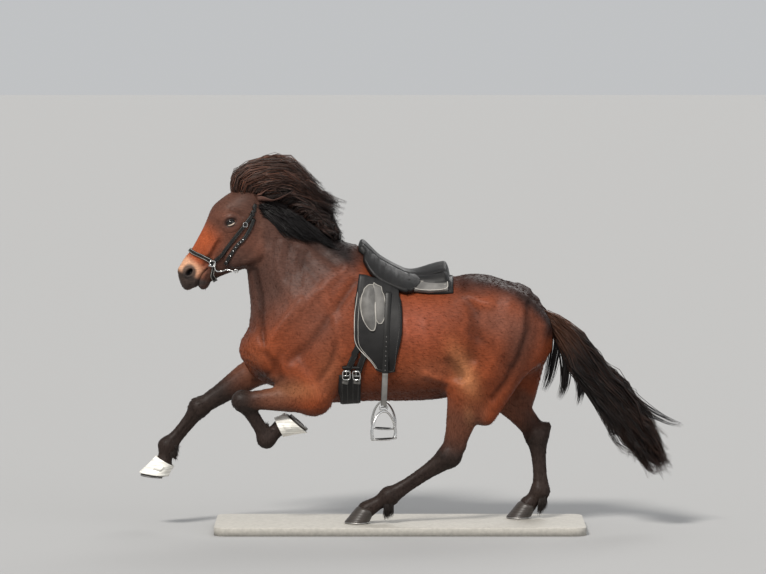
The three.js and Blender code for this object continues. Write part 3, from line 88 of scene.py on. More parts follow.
# Head from poll to lips: face x, face z, jaw x, jaw z, half width, widest level
HEAD = [
    (-700, 1634, -652, 1470, 58, 0.55),
    (-745, 1636, -652, 1385, 78, 0.55),
    (-800, 1614, -668, 1300, 92, 0.6),
    (-846, 1584, -706, 1256, 98, 0.66),
    (-893, 1541, -762, 1237, 88, 0.66),
    (-922, 1474, -812, 1223, 70, 0.62),
    (-955, 1406, -855, 1206, 58, 0.58),
    (-995, 1337, -888, 1188, 50, 0.55),
    (-1031, 1292, -917, 1172, 51, 0.52),
    (-1054, 1247, -950, 1160, 53, 0.5),
    (-1056, 1208, -990, 1157, 45, 0.5),
    (-1042, 1178, -1018, 1160, 28, 0.5),
]
FORE_LEFT = dict(
    side=LEFT, shoulder=(-640, -128, 872), elbow=(-405, -150, 640), knee=(-750, -138, 628),
    fetlock=(-636, -74, 436), sole=(-492, -62, 522), pitch=140,
)
FORE_RIGHT = dict(
    side=RIGHT, shoulder=(-664, 128, 900), elbow=(-636, 140, 776), knee=(-962, 128, 572),
    fetlock=(-1114, 120, 390), sole=(-1178, 118, 246), pitch=-6,
)
HIND_LEFT = dict(
    side=LEFT, hip=(540, -122, 1040), stifle=(318, -165, 690), hock=(232, -132, 362),
    fetlock=(-52, -118, 172), sole=(-198, -116, FLOOR), pitch=0, hamstring=(396, -140, 560),
)
HIND_RIGHT = dict(
    side=RIGHT, hip=(552, 122, 1046), stifle=(430, 165, 700), hock=(655, 132, 436),
    fetlock=(672, 118, 172), sole=(576, 116, FLOOR), pitch=0, hamstring=(590, 140, 620),
)
# Leg sections: share of the bone, front depth, back depth, half width
FOREARM = [(0, 72, 74, 58), (0.3, 74, 66, 56), (0.6, 56, 54, 45), (0.85, 45, 46, 37), (1, 44, 44, 38)]
FORE_CANNON = [(0, 46, 40, 39), (0.18, 38, 43, 35), (0.35, 30, 41, 27), (0.7, 28, 40, 25), (1, 38, 46, 34)]
GASKIN = [(0, 84, 100, 72), (0.3, 74, 96, 62), (0.6, 52, 76, 47), (0.85, 44, 64, 37), (1, 46, 58, 40)]
HIND_CANNON = [(0, 50, 54, 42), (0.16, 44, 50, 37), (0.35, 34, 42, 29), (0.7, 30, 40, 26), (1, 40, 48, 35)]
PASTERN = [(0, 40, 46, 35), (0.45, 34, 36, 33), (0.8, 40, 40, 40), (1, 44, 44, 44)]
HOOF = dict(toe=66, heel=62, half=58, middle=57, rise=34 / 128, slope=50)


# Distance field of the flesh, negative inside, on arrays of points
def unit(v):
    return v / np.maximum(np.linalg.norm(v, axis=-1, keepdims=True), 1e-9)


def catmull(p0, p1, p2, p3, t):
    return 0.5 * (
        2 * p1 + (p2 - p0) * t + (2 * p0 - 5 * p1 + 4 * p2 - p3) * t**2 + (3 * p1 - p0 - 3 * p2 + p3) * t**3
    )


def spline(rows, steps):
    """Rows of numbers with steps points of a smooth curve through each stretch."""
    rows = np.asarray(rows, float)
    padded = np.vstack([rows[:1], rows, rows[-1:]])
    out = [catmull(*padded[i : i + 4], j / steps) for i in range(len(rows) - 1) for j in range(steps)]
    return np.array(out + [rows[-1]])


class Loft:
    """A chain of slabs between elliptical sections of centre, depth, side, up, down and half width."""

    def __init__(self, sections, blend, steps=3):
        rows = spline(sections, steps)
        self.centre, self.deep, self.side = rows[:, :3], unit(rows[:, 3:6]), unit(rows[:, 6:9])
        self.sizes = rows[:, 9:]
        self.normal = unit(np.cross(self.deep, self.side))
        if self.normal[0] @ (self.centre[-1] - self.centre[0]) < 0:
            self.normal = -self.normal
        self.blend = blend
        self.middle = (self.centre[1:] + self.centre[:-1]) / 2
        big = np.maximum(self.sizes[1:].max(1), self.sizes[:-1].max(1))
        self.reach = big + np.linalg.norm(self.centre[1:] - self.centre[:-1], axis=1) / 2
        self.low = (self.middle - self.reach[:, None]).min(0)
        self.high = (self.middle + self.reach[:, None]).max(0)

    def slab(self, i, p):
        ca, cb, na, nb = self.centre[i], self.centre[i + 1], self.normal[i], self.normal[i + 1]
        fa, fb = (p - ca) @ na, (p - cb) @ nb
        span = fa - fb
        share = np.clip(fa / np.where(span > 1e-6, span, 1), 0, 1)
        t = np.where(span > 1e-6, share, (fa + fb > 0) * 1.0)
        s = 1 - t
        d = p - (s[:, None] * ca + t[:, None] * cb)
        du = s * (d @ self.deep[i]) + t * (d @ self.deep[i + 1])
        dv = s * (d @ self.side[i]) + t * (d @ self.side[i + 1])
        along = np.sqrt(np.maximum((d * d).sum(1) - du * du - dv * dv, 0))
        along[(t > 0) & (t < 1)] = 0
        sizes = s[:, None] * self.sizes[i] + t[:, None] * self.sizes[i + 1]
        depth = np.where(du > 0, sizes[:, 0], sizes[:, 1])
        half = sizes[:, 2]
        k0 = np.hypot(du / depth, dv / half)
        k1 = np.hypot(du / depth**2, dv / half**2)
        across = np.where(k1 > 1e-9, k0 * (k0 - 1) / np.maximum(k1, 1e-9), -np.minimum(depth, half))
        outside = np.where(across > 0, np.hypot(across, along), along)
        return np.where(along < 1e-6, across, outside)

    def distance(self, p, cap):
        best = cap.copy()
        room = cap.max()
        if (np.maximum(self.low - p.max(0), p.min(0) - self.high) > room).any():
            return best
        for i, middle in enumerate(self.middle):
            d = p - middle
            close = np.square(np.maximum(best + self.reach[i], 0))
            some = np.nonzero(np.einsum("ij,ij->i", d, d) < close)[0]
            if len(some):
                best[some] = np.minimum(best[some], self.slab(i, p[some]))
        return best


def field_of(lofts):
    def near(p):
        d = np.full(len(p), FAR)
        for one in lofts:
            e = one.distance(p, d + one.blend)
            h = np.maximum(one.blend - np.abs(d - e), 0) / one.blend
            d = np.minimum(d, e) - h * h * one.blend / 4
        return d

    def field(p):
        order = np.lexsort((p[:, 2] // 90, p[:, 0] // 90))
        out = np.empty(len(p))
        for some in np.array_split(order, len(p) // CHUNK + 1):
            out[some] = near(p[some])
        return out

    return field


def outline(rows, blend):
    sections = []
    for tx, tz, bx, bz, half, *level in rows:
        level = level[0] if level else 0.5
        top, bottom = np.array([tx, 0.0, tz]), np.array([bx, 0.0, bz])
        height = np.linalg.norm(top - bottom)
        centre = bottom + (top - bottom) * level
        sections.append([*centre, *unit(top - bottom), *SIDE, height * (1 - level), height * level, half])
    return Loft(sections, blend)


ROUND = [(0.45, 0.89), (0.8, 0.6), (0.98, 0.2)]


def bone(start, end, rows, blend):
    """A straight muscle or bone, round at both ends, with sections of share, front, back and half width."""
    a, b = np.array(start, float), np.array(end, float)
    along = unit(b - a)
    front = unit(np.cross(SIDE, along))
    side = np.cross(along, front)
    length = np.linalg.norm(b - a)

    def cap(row, way):
        share, up, down, half = row
        reach = min(up + down, 2 * half) / 2 / length * way
        return [(share + far * reach, up * size, down * size, half * size) for far, size in ROUND]

    fine = spline(rows, 2)
    fine[1::2, 0] = (fine[:-1:2, 0] + fine[2::2, 0]) / 2
    every = [*reversed(cap(rows[0], -1)), *fine, *cap(rows[-1], 1)]
    return Loft([[*(a + (b - a) * r[0]), *front, *side, *r[1:]] for r in every], blend, 1)


def ball(at, up, side, blend, lean=(0, 0, 1)):
    axis = unit(np.array(lean, float))
    front = unit(np.cross(SIDE, axis))
    sections = []
    for h in (-0.98, -0.85, -0.5, 0, 0.5, 0.85, 0.98):
        r = math.sqrt(1 - h * h)
        sections.append([*(np.array(at) + axis * h * up * 0.98), *front, *SIDE, up * r, up * r, side * r])
    return Loft(sections, blend, 1)


SHOULDER = [(-0.12, 56, 50, 50), (0.1, 82, 78, 68), (0.6, 84, 88, 66), (1, 70, 78, 58)]
BUTTOCK = [(0, 70, 62, 60), (0.4, 92, 78, 76), (1, 62, 60, 52)]


def fore_girdle(leg):
    side, shoulder, elbow = leg["side"], leg["shoulder"], leg["elbow"]
    blade, ribs = (-262, side * 62, 1262), (-318, side * 142, 962)
    return [
        bone(blade, shoulder, [(0, 52, 60, 34), (0.3, 88, 92, 58), (0.7, 96, 92, 72), (1, 66, 70, 62)], 60),
        bone(shoulder, elbow, SHOULDER, 50),
        bone(ribs, elbow, [(0, 84, 84, 58), (0.5, 92, 92, 66), (1, 62, 66, 52)], 60),
        ball((-688, side * 66, 866), 74, 66, 50),
        ball(elbow, 82, 62, 40),
    ]


def hind_girdle(leg):
    side, hip, stifle = leg["side"], leg["hip"], leg["stifle"]
    thigh = [(0, 120, 140, 96), (0.5, 128, 150, 98), (0.85, 104, 112, 84), (1.06, 74, 92, 70)]
    return [
        bone((330, side * 96, 1096), hip, [(0, 96, 90, 84), (0.5, 118, 110, 104), (1, 112, 120, 100)], 60),
        bone(hip, stifle, thigh, 60),
        bone((648, side * 84, 985), leg["hamstring"], BUTTOCK, 60),
    ]


def hoof_frame(leg):
    turn = math.radians(leg["pitch"])
    toe = np.array([-math.cos(turn), 0, -math.sin(turn)])
    up = np.array([-math.sin(turn), 0, math.cos(turn)])
    return toe, up, np.array(leg["sole"], float)


def coronet(leg):
    toe, up, sole = hoof_frame(leg)
    return sole + up * HOOF["middle"] - toe * HOOF["middle"] / math.tan(math.radians(HOOF["slope"])) * 0.8


def lower_leg(leg, upper, lower, top, middle, bend):
    return [
        bone(top, leg[middle], upper, 30),
        bone(leg[middle], leg["fetlock"], lower, bend),
        ball(leg["fetlock"], 42, 36, 20),
        bone(leg["fetlock"], coronet(leg), PASTERN, 24),
    ]


def fore_leg(leg):
    return lower_leg(leg, FOREARM, FORE_CANNON, leg["elbow"], "knee", 30) + [ball(leg["knee"], 48, 41, 22)]


def hind_leg(leg):
    x, y, z = leg["hock"]
    return lower_leg(leg, GASKIN, HIND_CANNON, leg["stifle"], "hock", 34) + [
        ball(leg["hock"], 52, 42, 24),
        bone((x + 52, y, z + 46), leg["hock"], [(0, 24, 20, 20), (1, 34, 34, 30)], 34),
    ]


def head_lofts():
    lofts = [outline(HEAD, 20)]
    for side in (LEFT, RIGHT):
        lofts += [
            bone((-690, side * 52, 1350), (-800, side * 62, 1300), [(0, 60, 60, 30), (1, 52, 52, 26)], 40),
            bone((-800, side * 78, 1505), (-852, side * 74, 1490), [(0, 22, 20, 20), (1, 16, 16, 16)], 24),
            bone((-868, side * 60, 1400), (-905, side * 50, 1330), [(0, 14, 14, 14), (1, 10, 10, 10)], 26),
            ball((-1030, side * 36, 1236), 30, 20, 18),
        ]
    return lofts + [ball((-1010, 0, 1176), 34, 38, 18), ball((-935, 0, 1176), 30, 34, 16)]


trunk = outline([(x, top, x, bottom, half, level) for x, top, bottom, half, level in TRUNK], 40)
neck = outline(NECK, 60)
FORES, HINDS = (FORE_LEFT, FORE_RIGHT), (HIND_LEFT, HIND_RIGHT)


def lofts_of(*kinds):
    """The lofts of several legs: pairs of the legs and the function that builds them."""
    return [one for legs, build in kinds for leg in legs for one in build(leg)]


limbs = lofts_of((FORES, fore_girdle), (HINDS, hind_girdle), (FORES, fore_leg), (HINDS, hind_leg))
flesh = field_of([trunk, neck, *limbs, *head_lofts()])
barrel = field_of([trunk, *lofts_of((FORES, fore_girdle))])


# Surface of a field by surface nets on a grid of uneven lines
def axis(stops):
    lines = [float(stops[0][0])]
    while lines[-1] < stops[-1][0]:
        i = max(next(n for n, (at, _) in enumerate(stops) if at > lines[-1]), 1)
        (a, step_a), (b, step_b) = stops[i - 1], stops[i]
        lines.append(lines[-1] + step_a + (step_b - step_a) * (lines[-1] - a) / (b - a))
    return np.array(lines)


BLOCK = 4


def grid_values(field, lines):
    """Field values on a grid, worked out in full only in the blocks that the surface may cross."""
    lines = [line[: (len(line) - 1) // BLOCK * BLOCK + 1] for line in lines]
    coarse = np.stack(np.meshgrid(*[line[::BLOCK] for line in lines], indexing="ij"), -1)
    rough = field(coarse.reshape(-1, 3)).reshape(coarse.shape[:3])
    diagonal = np.linalg.norm(coarse[1:, 1:, 1:] - coarse[:-1, :-1, :-1], axis=-1)
    corners = [rough[a : a + diagonal.shape[0], b : b + diagonal.shape[1], c : c + diagonal.shape[2]]
               for a in (0, 1) for b in (0, 1) for c in (0, 1)]
    close = np.min(np.abs(corners), 0) < diagonal * 0.62
    values = rough.repeat(BLOCK, 0).repeat(BLOCK, 1).repeat(BLOCK, 2)
    values = values[: len(lines[0]), : len(lines[1]), : len(lines[2])].copy()
    wanted = np.zeros(values.shape, bool)
    for i, j, k in np.argwhere(close) * BLOCK:
        wanted[i : i + BLOCK + 1, j : j + BLOCK + 1, k : k + BLOCK + 1] = True
    places = np.argwhere(wanted)
    points = np.stack([line[places[:, n]] for n, line in enumerate(lines)], 1)
    values[wanted] = field(points)
    return values, lines


def nets(field, lines):
    values, lines = grid_values(field, lines)
    inside = values < 0
    cells_shape = [n - 1 for n in values.shape]

    def corner(array, a, b, c):
        return array[a : a + cells_shape[0], b : b + cells_shape[1], c : c + cells_shape[2]]

    offsets = [(a, b, c) for a in (0, 1) for b in (0, 1) for c in (0, 1)]
    count = sum(corner(inside, *o).astype(np.int8) for o in offsets)
    cells = np.argwhere((count > 0) & (count < 8))
    number = np.full(cells_shape, -1, np.int32)
    number[tuple(cells.T)] = np.arange(len(cells))
    at = [values[tuple((cells + o).T)] for o in offsets]
    total, hits = np.zeros((len(cells), 3)), np.zeros(len(cells))
    for i, first in enumerate(offsets):
        for j, second in enumerate(offsets):
            if j <= i or sum(abs(a - b) for a, b in zip(first, second)) != 1:
                continue
            crossed = (at[i] < 0) != (at[j] < 0)
            t = np.where(crossed, at[i] / np.where(crossed, at[i] - at[j], 1), 0)[:, None]
            total += crossed[:, None] * (np.array(first) * (1 - t) + np.array(second) * t)
            hits += crossed
    local = total / hits[:, None]
    low = np.stack([line[cells[:, n]] for n, line in enumerate(lines)], 1)
    high = np.stack([line[cells[:, n] + 1] for n, line in enumerate(lines)], 1)
    points = low + local * (high - low)
    quads = []
    for way in range(3):
        u, v = (way + 1) % 3, (way + 2) % 3
        first = np.moveaxis(inside, way, 0)[:-1]
        second = np.moveaxis(inside, way, 0)[1:]
        edges = np.argwhere(np.moveaxis(first != second, 0, way))
        edges = edges[(edges[:, u] > 0) & (edges[:, v] > 0)]
        edges = edges[(edges[:, u] < cells_shape[u]) & (edges[:, v] < cells_shape[v])]
        ring = []
        for a, b in ((0, 0), (1, 0), (1, 1), (0, 1)):
            cell = edges.copy()
            cell[:, u] -= a
            cell[:, v] -= b
            ring.append(number[tuple(cell.T)])
        ring = np.stack(ring, 1)
        here = inside[tuple(edges.T)]
        quads.append(np.where(here[:, None], ring, ring[:, ::-1]))
    return points, np.concatenate(quads)


def object_of(name, points, faces, material, tone=None, uv=None):
    """A smooth mesh piece from points in millimetres, with a colour and a place in the unwrap if given."""
    mesh = bpy.data.meshes.new(name)
    faces = faces.tolist() if isinstance(faces, np.ndarray) else faces
    mesh.from_pydata((np.asarray(points) * MM).tolist(), [], faces)
    mesh.polygons.foreach_set("use_smooth", np.ones(len(mesh.polygons), bool))
    mesh.materials.append(material)
    if tone is not None:
        colours = mesh.color_attributes.new(name="tone", type="FLOAT_COLOR", domain="POINT")
        colours.data.foreach_set("color", np.hstack([tone, np.ones((len(tone), 1))]).ravel())
    if uv is not None:
        layer = mesh.uv_layers.new(name="OFBake")
        corner = np.empty(len(mesh.loops), np.int32)
        mesh.loops.foreach_get("vertex_index", corner)
        layer.data.foreach_set("uv", (uv if len(uv) == len(corner) else uv[corner]).ravel())
    mesh.update()
    piece = bpy.data.objects.new(name, mesh)
    bpy.context.scene.collection.objects.link(piece)
    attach(piece, BODY)
    return piece


def smooth(x, a, b):
    t = np.clip((x - a) / (b - a), 0, 1)
    return t * t * (3 - 2 * t)


def mix(a, b, share):
    return a + (b - a) * share


def gradient(field, p):
    e = 2.0
    steps = np.concatenate([p + np.eye(3)[i] * s * e for i in range(3) for s in (1, -1)])
    values = field(steps).reshape(3, 2, -1)
    return ((values[:, 0] - values[:, 1]) / (2 * e)).T


def onto(field, p, level):
    """Moves points to where the field has the level given."""
    p = np.array(p, float)
    level = np.broadcast_to(level, len(p))
    for _ in range(6):
        slope = gradient(field, p)
        size = np.linalg.norm(slope, axis=1)
        step = (level - field(p)) / np.maximum(size, 0.5)
        p += slope / np.maximum(size, 1e-6)[:, None] * np.clip(step, -60, 60)[:, None]
    return p


def to_path(p, path):
    """The distance of points from a line of joints, and how far along it they are, counted in joints."""
    best, share = np.full(len(p), 1e9), np.zeros(len(p))
    for i in range(len(path) - 1):
        a, b = np.array(path[i], float), np.array(path[i + 1], float)
        t = np.clip((p - a) @ (b - a) / ((b - a) @ (b - a)), 0, 1)
        d = np.linalg.norm(p - a - t[:, None] * (b - a), axis=1)
        share[d < best] = i + t[d < best]
        best = np.minimum(best, d)
    return best, share


# Materials
class Look:
    """A material's node tree, built a node at a time; an input may be a value or another node's output."""

    def __init__(self, name):
        self.material = bpy.data.materials.new(name)
        self.material.use_nodes = True
        self.tree = self.material.node_tree
        self.shader = self.tree.nodes["Principled BSDF"]

    @cached_property
    def place(self):
        return self.node("TexCoord").outputs["Object"]

    def node(self, kind, inputs=None, **settings):
        made = self.tree.nodes.new("ShaderNode" + kind)
        for key, value in settings.items():
            setattr(made, key, value)
        for key, value in (inputs or {}).items():
            self.put(made.inputs[key], value)
        return made

    def put(self, socket, value):
        if isinstance(value, bpy.types.NodeSocket):
            self.tree.links.new(value, socket)
        else:
            socket.default_value = value

    def set(self, **values):
        for key, value in values.items():
            self.put(self.shader.inputs[key.replace("_", " ")], value)

    def noise(self, scale, detail, stretch=None):
        """Noise in the object's own space, drawn out by the scales of stretch if given."""
        place = self.place
        if stretch:
            place = self.node("Mapping", {"Vector": place, "Scale": stretch}).outputs["Vector"]
        return self.node("TexNoise", {"Vector": place, "Scale": scale, "Detail": detail}).outputs["Fac"]

    def ramp(self, value, start, end, first, last):
        """A value from start to end, mapped to run from first to last."""
        inputs = {"Value": value, "From Min": start, "From Max": end, "To Min": first, "To Max": last}
        return self.node("MapRange", inputs).outputs["Result"]

    def scaled(self, colour, level):
        return self.node("VectorMath", {0: colour, "Scale": level}, operation="SCALE").outputs["Vector"]

    def bump(self, height, strength, distance):
        inputs = {"Height": height, "Strength": strength, "Distance": distance}
        return self.node("Bump", inputs).outputs["Normal"]


def plain(name, colour, rough):
    look = Look(name)
    look.set(Base_Color=(*colour, 1), Roughness=rough)
    return look.material


# Relief of the skin: [points (x, z) along a groove or ridge, half width, height, least share facing sideways]
RELIEF = [
    ([(-262, 1262), (-420, 1120), (-560, 980), (-640, 890)], 24, 5, 0.3),
    ([(-214, 1190), (-330, 1030), (-430, 900), (-520, 820)], 26, -7, 0.3),
    ([(-640, 868), (-590, 800), (-560, 740)], 20, -7, 0.3),
    ([(-500, 800), (-420, 720), (-380, 650)], 30, 6, 0.3),
    ([(-690, 1240), (-664, 1120), (-660, 1000), (-640, 900)], 17, -9, 0.15),
    ([(-620, 1330), (-560, 1200), (-470, 1080)], 34, 5, 0.3),
    ([(-560, 1420), (-470, 1290), (-390, 1200)], 26, -4, 0.3),
    ([(-455, 1400), (-370, 1320), (-290, 1262)], 22, -5, 0.3),
    ([(120, 760), (210, 726), (290, 712), (330, 740), (352, 800)], 20, 7, 0.2),
    ([(230, 820), (270, 780), (290, 740)], 30, -8, 0.2),
    ([(300, 1180), (350, 1060), (350, 940), (330, 840)], 34, -7, 0.3),
    ([(322, 1130), (370, 1100), (420, 1092)], 22, 7, 0.2),
    ([(610, 1090), (600, 960), (560, 840), (500, 720), (440, 640)], 18, -8, 0.2),
    ([(520, 1120), (500, 1000), (470, 880), (420, 760)], 38, 6, 0.3),
    ([(676, 980), (660, 860), (610, 740)], 26, 5, 0.2),
    ([(-150, 1000), (-130, 880), (-110, 760)], 18, 2.4, 0.4),
    ([(-60, 1010), (-40, 880), (-20, 740)], 18, 2.4, 0.4),
    ([(30, 1010), (50, 880), (60, 740)], 18, 2.4, 0.4),
    ([(120, 1010), (130, 890), (130, 780)], 18, 2.0, 0.4),
    ([(-270, 640), (-100, 650), (60, 656), (180, 670)], 14, -3, 0.1),
    ([(-586, 1390), (-600, 1310), (-596, 1230)], 8, -3, 0.3),
    ([(-556, 1380), (-572, 1300), (-570, 1220)], 8, 2.6, 0.3),
    ([(-520, 1370), (-540, 1290), (-540, 1200)], 8, -2.6, 0.3),
    ([(-484, 1350), (-504, 1270), (-506, 1190)], 9, 2.4, 0.3),
    ([(-440, 1330), (-464, 1250), (-470, 1170)], 9, -2.4, 0.3),
    ([(-470, 1110), (-560, 1000), (-600, 930)], 15, 5, 0.3),
    ([(-360, 1150), (-300, 1000), (-270, 860)], 20, 5, 0.3),
    ([(-300, 900), (-330, 800), (-380, 730)], 18, -6, 0.3),
    ([(-560, 860), (-600, 770), (-690, 700)], 18, -5, 0.3),
    ([(340, 960), (420, 900), (500, 800)], 26, -4, 0.3),
    ([(560, 1060), (570, 940), (530, 820)], 24, 4, 0.3),
]
# Relief of the head, finer
FACE_RELIEF = [
    ([(-868, 1402), (-850, 1420), (-905, 1335), (-925, 1306)], 9, 4, 0.3),
    ([(-770, 1494), (-788, 1504), (-812, 1506), (-836, 1496)], 9, 6, 0.3),
    ([(-752, 1500), (-770, 1520), (-800, 1532)], 11, -6, 0.3),
    ([(-788, 1440), (-812, 1436), (-836, 1444)], 7, -3, 0.3),
    ([(-612, 1420), (-617, 1370), (-640, 1310), (-672, 1262)], 10, -9, 0.1),
    ([(-650, 1440), (-650, 1380), (-678, 1318), (-730, 1280)], 22, 6, 0.2),
    ([(-860, 1372), (-900, 1300), (-930, 1262)], 12, -5, 0.3),
    ([(-880, 1300), (-900, 1270), (-925, 1250)], 7, 3, 0.3),
    ([(-938, 1400), (-968, 1340), (-1000, 1292)], 9, -3, 0.25),
    ([(-902, 1452), (-890, 1420), (-880, 1380), (-890, 1350)], 3.4, 1.8, 0.4),
    ([(-890, 1392), (-912, 1372), (-925, 1340)], 3, 1.6, 0.4),
    ([(-990, 1262), (-970, 1236), (-962, 1210)], 8, -3, 0.3),
    ([(-966, 1140), (-954, 1190), (-938, 1222), (-916, 1246)], 4.2, -9, 0),
    ([(-984, 1160), (-972, 1196), (-956, 1226)], 7, 3.4, 0.1),
    ([(-944, 1158), (-934, 1196), (-920, 1226)], 7, 3, 0.1),
]
NOSTRIL = dict(at=(-1001, 50, 1232), long=20, wide=12, lean=48, depth=18)


def normals(points, faces):
    corner = points[faces]
    face = np.cross(corner[:, 2] - corner[:, 0], corner[:, 3] - corner[:, 1])
    out = np.zeros_like(points)
    for i in range(4):
        np.add.at(out, faces[:, i], face)
    return unit(out), face


def relief(p, n, rows):
    """How far each point is lifted by grooves and ridges drawn on the side of the body."""
    lift = np.zeros(len(p))
    for path, width, height, least in rows:
        xs, zs = zip(*path)
        near = (p[:, 0] > min(xs) - 3 * width) & (p[:, 0] < max(xs) + 3 * width)
        near &= (p[:, 2] > min(zs) - 3 * width) & (p[:, 2] < max(zs) + 3 * width)
        d, _ = to_path(p[near] * (1, 0, 1), [(x, 0, z) for x, z in path])
        facing = smooth(np.abs(n[near, 1]), least - 0.15, least + 0.2) if least else 1
        lift[near] += height * np.exp(-np.square(d / width)) * facing
    return lift


TENDONS = [(4.5, 10, 6), (2.5, 24, 4)]  # depth of each groove, its place behind the bone, half width


def tendons(p, n):
    """Grooves between bone and tendons on the sides of each cannon."""
    lift = np.zeros(len(p))
    for leg in LEGS:
        a, b = np.array(leg[leg["middle"]], float), np.array(leg["fetlock"], float)
        along = unit(b - a)
        back = -unit(np.cross(SIDE, along))
        near = np.linalg.norm(p - (a + b) / 2, axis=1) < np.linalg.norm(b - a) * 0.7
        q = p[near] - a
        share = q @ along / np.linalg.norm(b - a)
        across = q @ back
        fade = smooth(share, 0.1, 0.3) * smooth(share, 0.98, 0.8) * smooth(np.abs(n[near] @ SIDE), 0.3, 0.6)
        for depth, behind, half in TENDONS:
            lift[near] -= depth * np.exp(-np.square((across - behind) / half)) * fade
    return lift


for leg in FORES:
    leg["joints"], leg["middle"] = ("elbow", "knee", "fetlock", "sole"), "knee"
for leg in HINDS:
    leg["joints"], leg["middle"] = ("stifle", "hock", "fetlock", "sole"), "hock"
LEGS = (*FORES, *HINDS)
FACE_AXIS = [(-760, 0, 1575), (-1045, 0, 1180)]
FACE_LINE = np.array([-846.0, 0, 1584])
FACE_BACK = np.array([0.863, 0, -0.505])


def leg_shares(p):
    """For each leg, the distance from its bones and the place along them."""
    return [to_path(p, [leg[joint] for joint in leg["joints"]]) for leg in LEGS]


def head_place(p):
    """Distance from the head's axis, share from poll to lips, and depth behind the line of the face."""
    far, share = to_path(p * (1, 0, 1), FACE_AXIS)
    return far, share, (p - FACE_LINE) @ FACE_BACK


def head_mask(p):
    x, z = p[:, 0], p[:, 2]
    return smooth(x, -628, -668) * smooth((x + 741) * 0.37 - (z - 1240) * 0.93, 22, -22)


# Markings, with painted shade, painted shadow and painted sheen
BAY = (0.170, 0.038, 0.013)
BROWN = (0.060, 0.031, 0.024)
# painted shadow: near black where the rider's shadow falls on the top of the back and croup
SHADOW_BLACK = (0.027, 0.016, 0.014)
POINT_BLACK = (0.021, 0.016, 0.014)
TAN = (0.36, 0.145, 0.062)
NOSE_RED = (0.29, 0.064, 0.022)
MEALY = (0.52, 0.29, 0.18)
MUZZLE = (0.034, 0.027, 0.025)
# painted shade for faces that look down
UNDERSIDE_SHADE = (0.05, 0.024, 0.018)
LEG_TOP = (0.085, 0.046, 0.032)
FACE_BROWN = (0.080, 0.036, 0.025)
FOREHEAD = (0.115, 0.042, 0.026)
JAW = (0.05, 0.028, 0.022)
# near black along the crest: the mane's black roots, with painted shade under the mane
MANE_ROOT_SHADE = (0.012, 0.010, 0.010)
# painted shade inside the nostrils and inside the ears
HOLLOW_SHADE = (0.004, 0.003, 0.003)
CREST = [(row[0], 0, row[1]) for row in NECK]
# Spots of the coat's own colour, with painted sheen on the croup and shoulder and painted shade round the eye
SPOTS_SHEEN_AND_SHADE = [
    # centre x and z, radii, turn in degrees, colour, strength
    (300, 772, 46, 120, 24, TAN, 1.0),
    (326, 556, 24, 52, 10, TAN, 0.6),
    (-520, 680, 110, 40, 0, TAN, 0.55),
    (-704, 800, 60, 90, -20, (0.25, 0.075, 0.034), 0.6),
    (-330, 760, 60, 110, 0, (0.27, 0.09, 0.042), 0.6),
    (140, 770, 160, 70, 10, (0.26, 0.085, 0.042), 0.5),
    (60, 1000, 170, 110, 0, (0.24, 0.066, 0.038), 0.5),
    (565, 880, 80, 170, -18, (0.055, 0.027, 0.02), 0.7),
    # painted sheen: a greyish tone on the upper side of the croup
    (500, 1000, 160, 90, -12, (0.13, 0.062, 0.046), 0.55),
    # painted sheen: a greyish tone on the shoulder
    (-400, 1000, 150, 170, 20, (0.13, 0.062, 0.045), 0.45),
    # painted shade round the eye, under the brow
    (-802, 1468, 30, 22, 20, (0.030, 0.020, 0.018), 0.7),
    (-720, 1300, 66, 60, 0, (0.050, 0.030, 0.024), 0.6),
]

# Where each leg begins to turn black and is black, in joints down it
BLACK_FROM = ((0.55, 1.0), (0.15, 0.7), (0.5, 1.04), (0.5, 1.04))


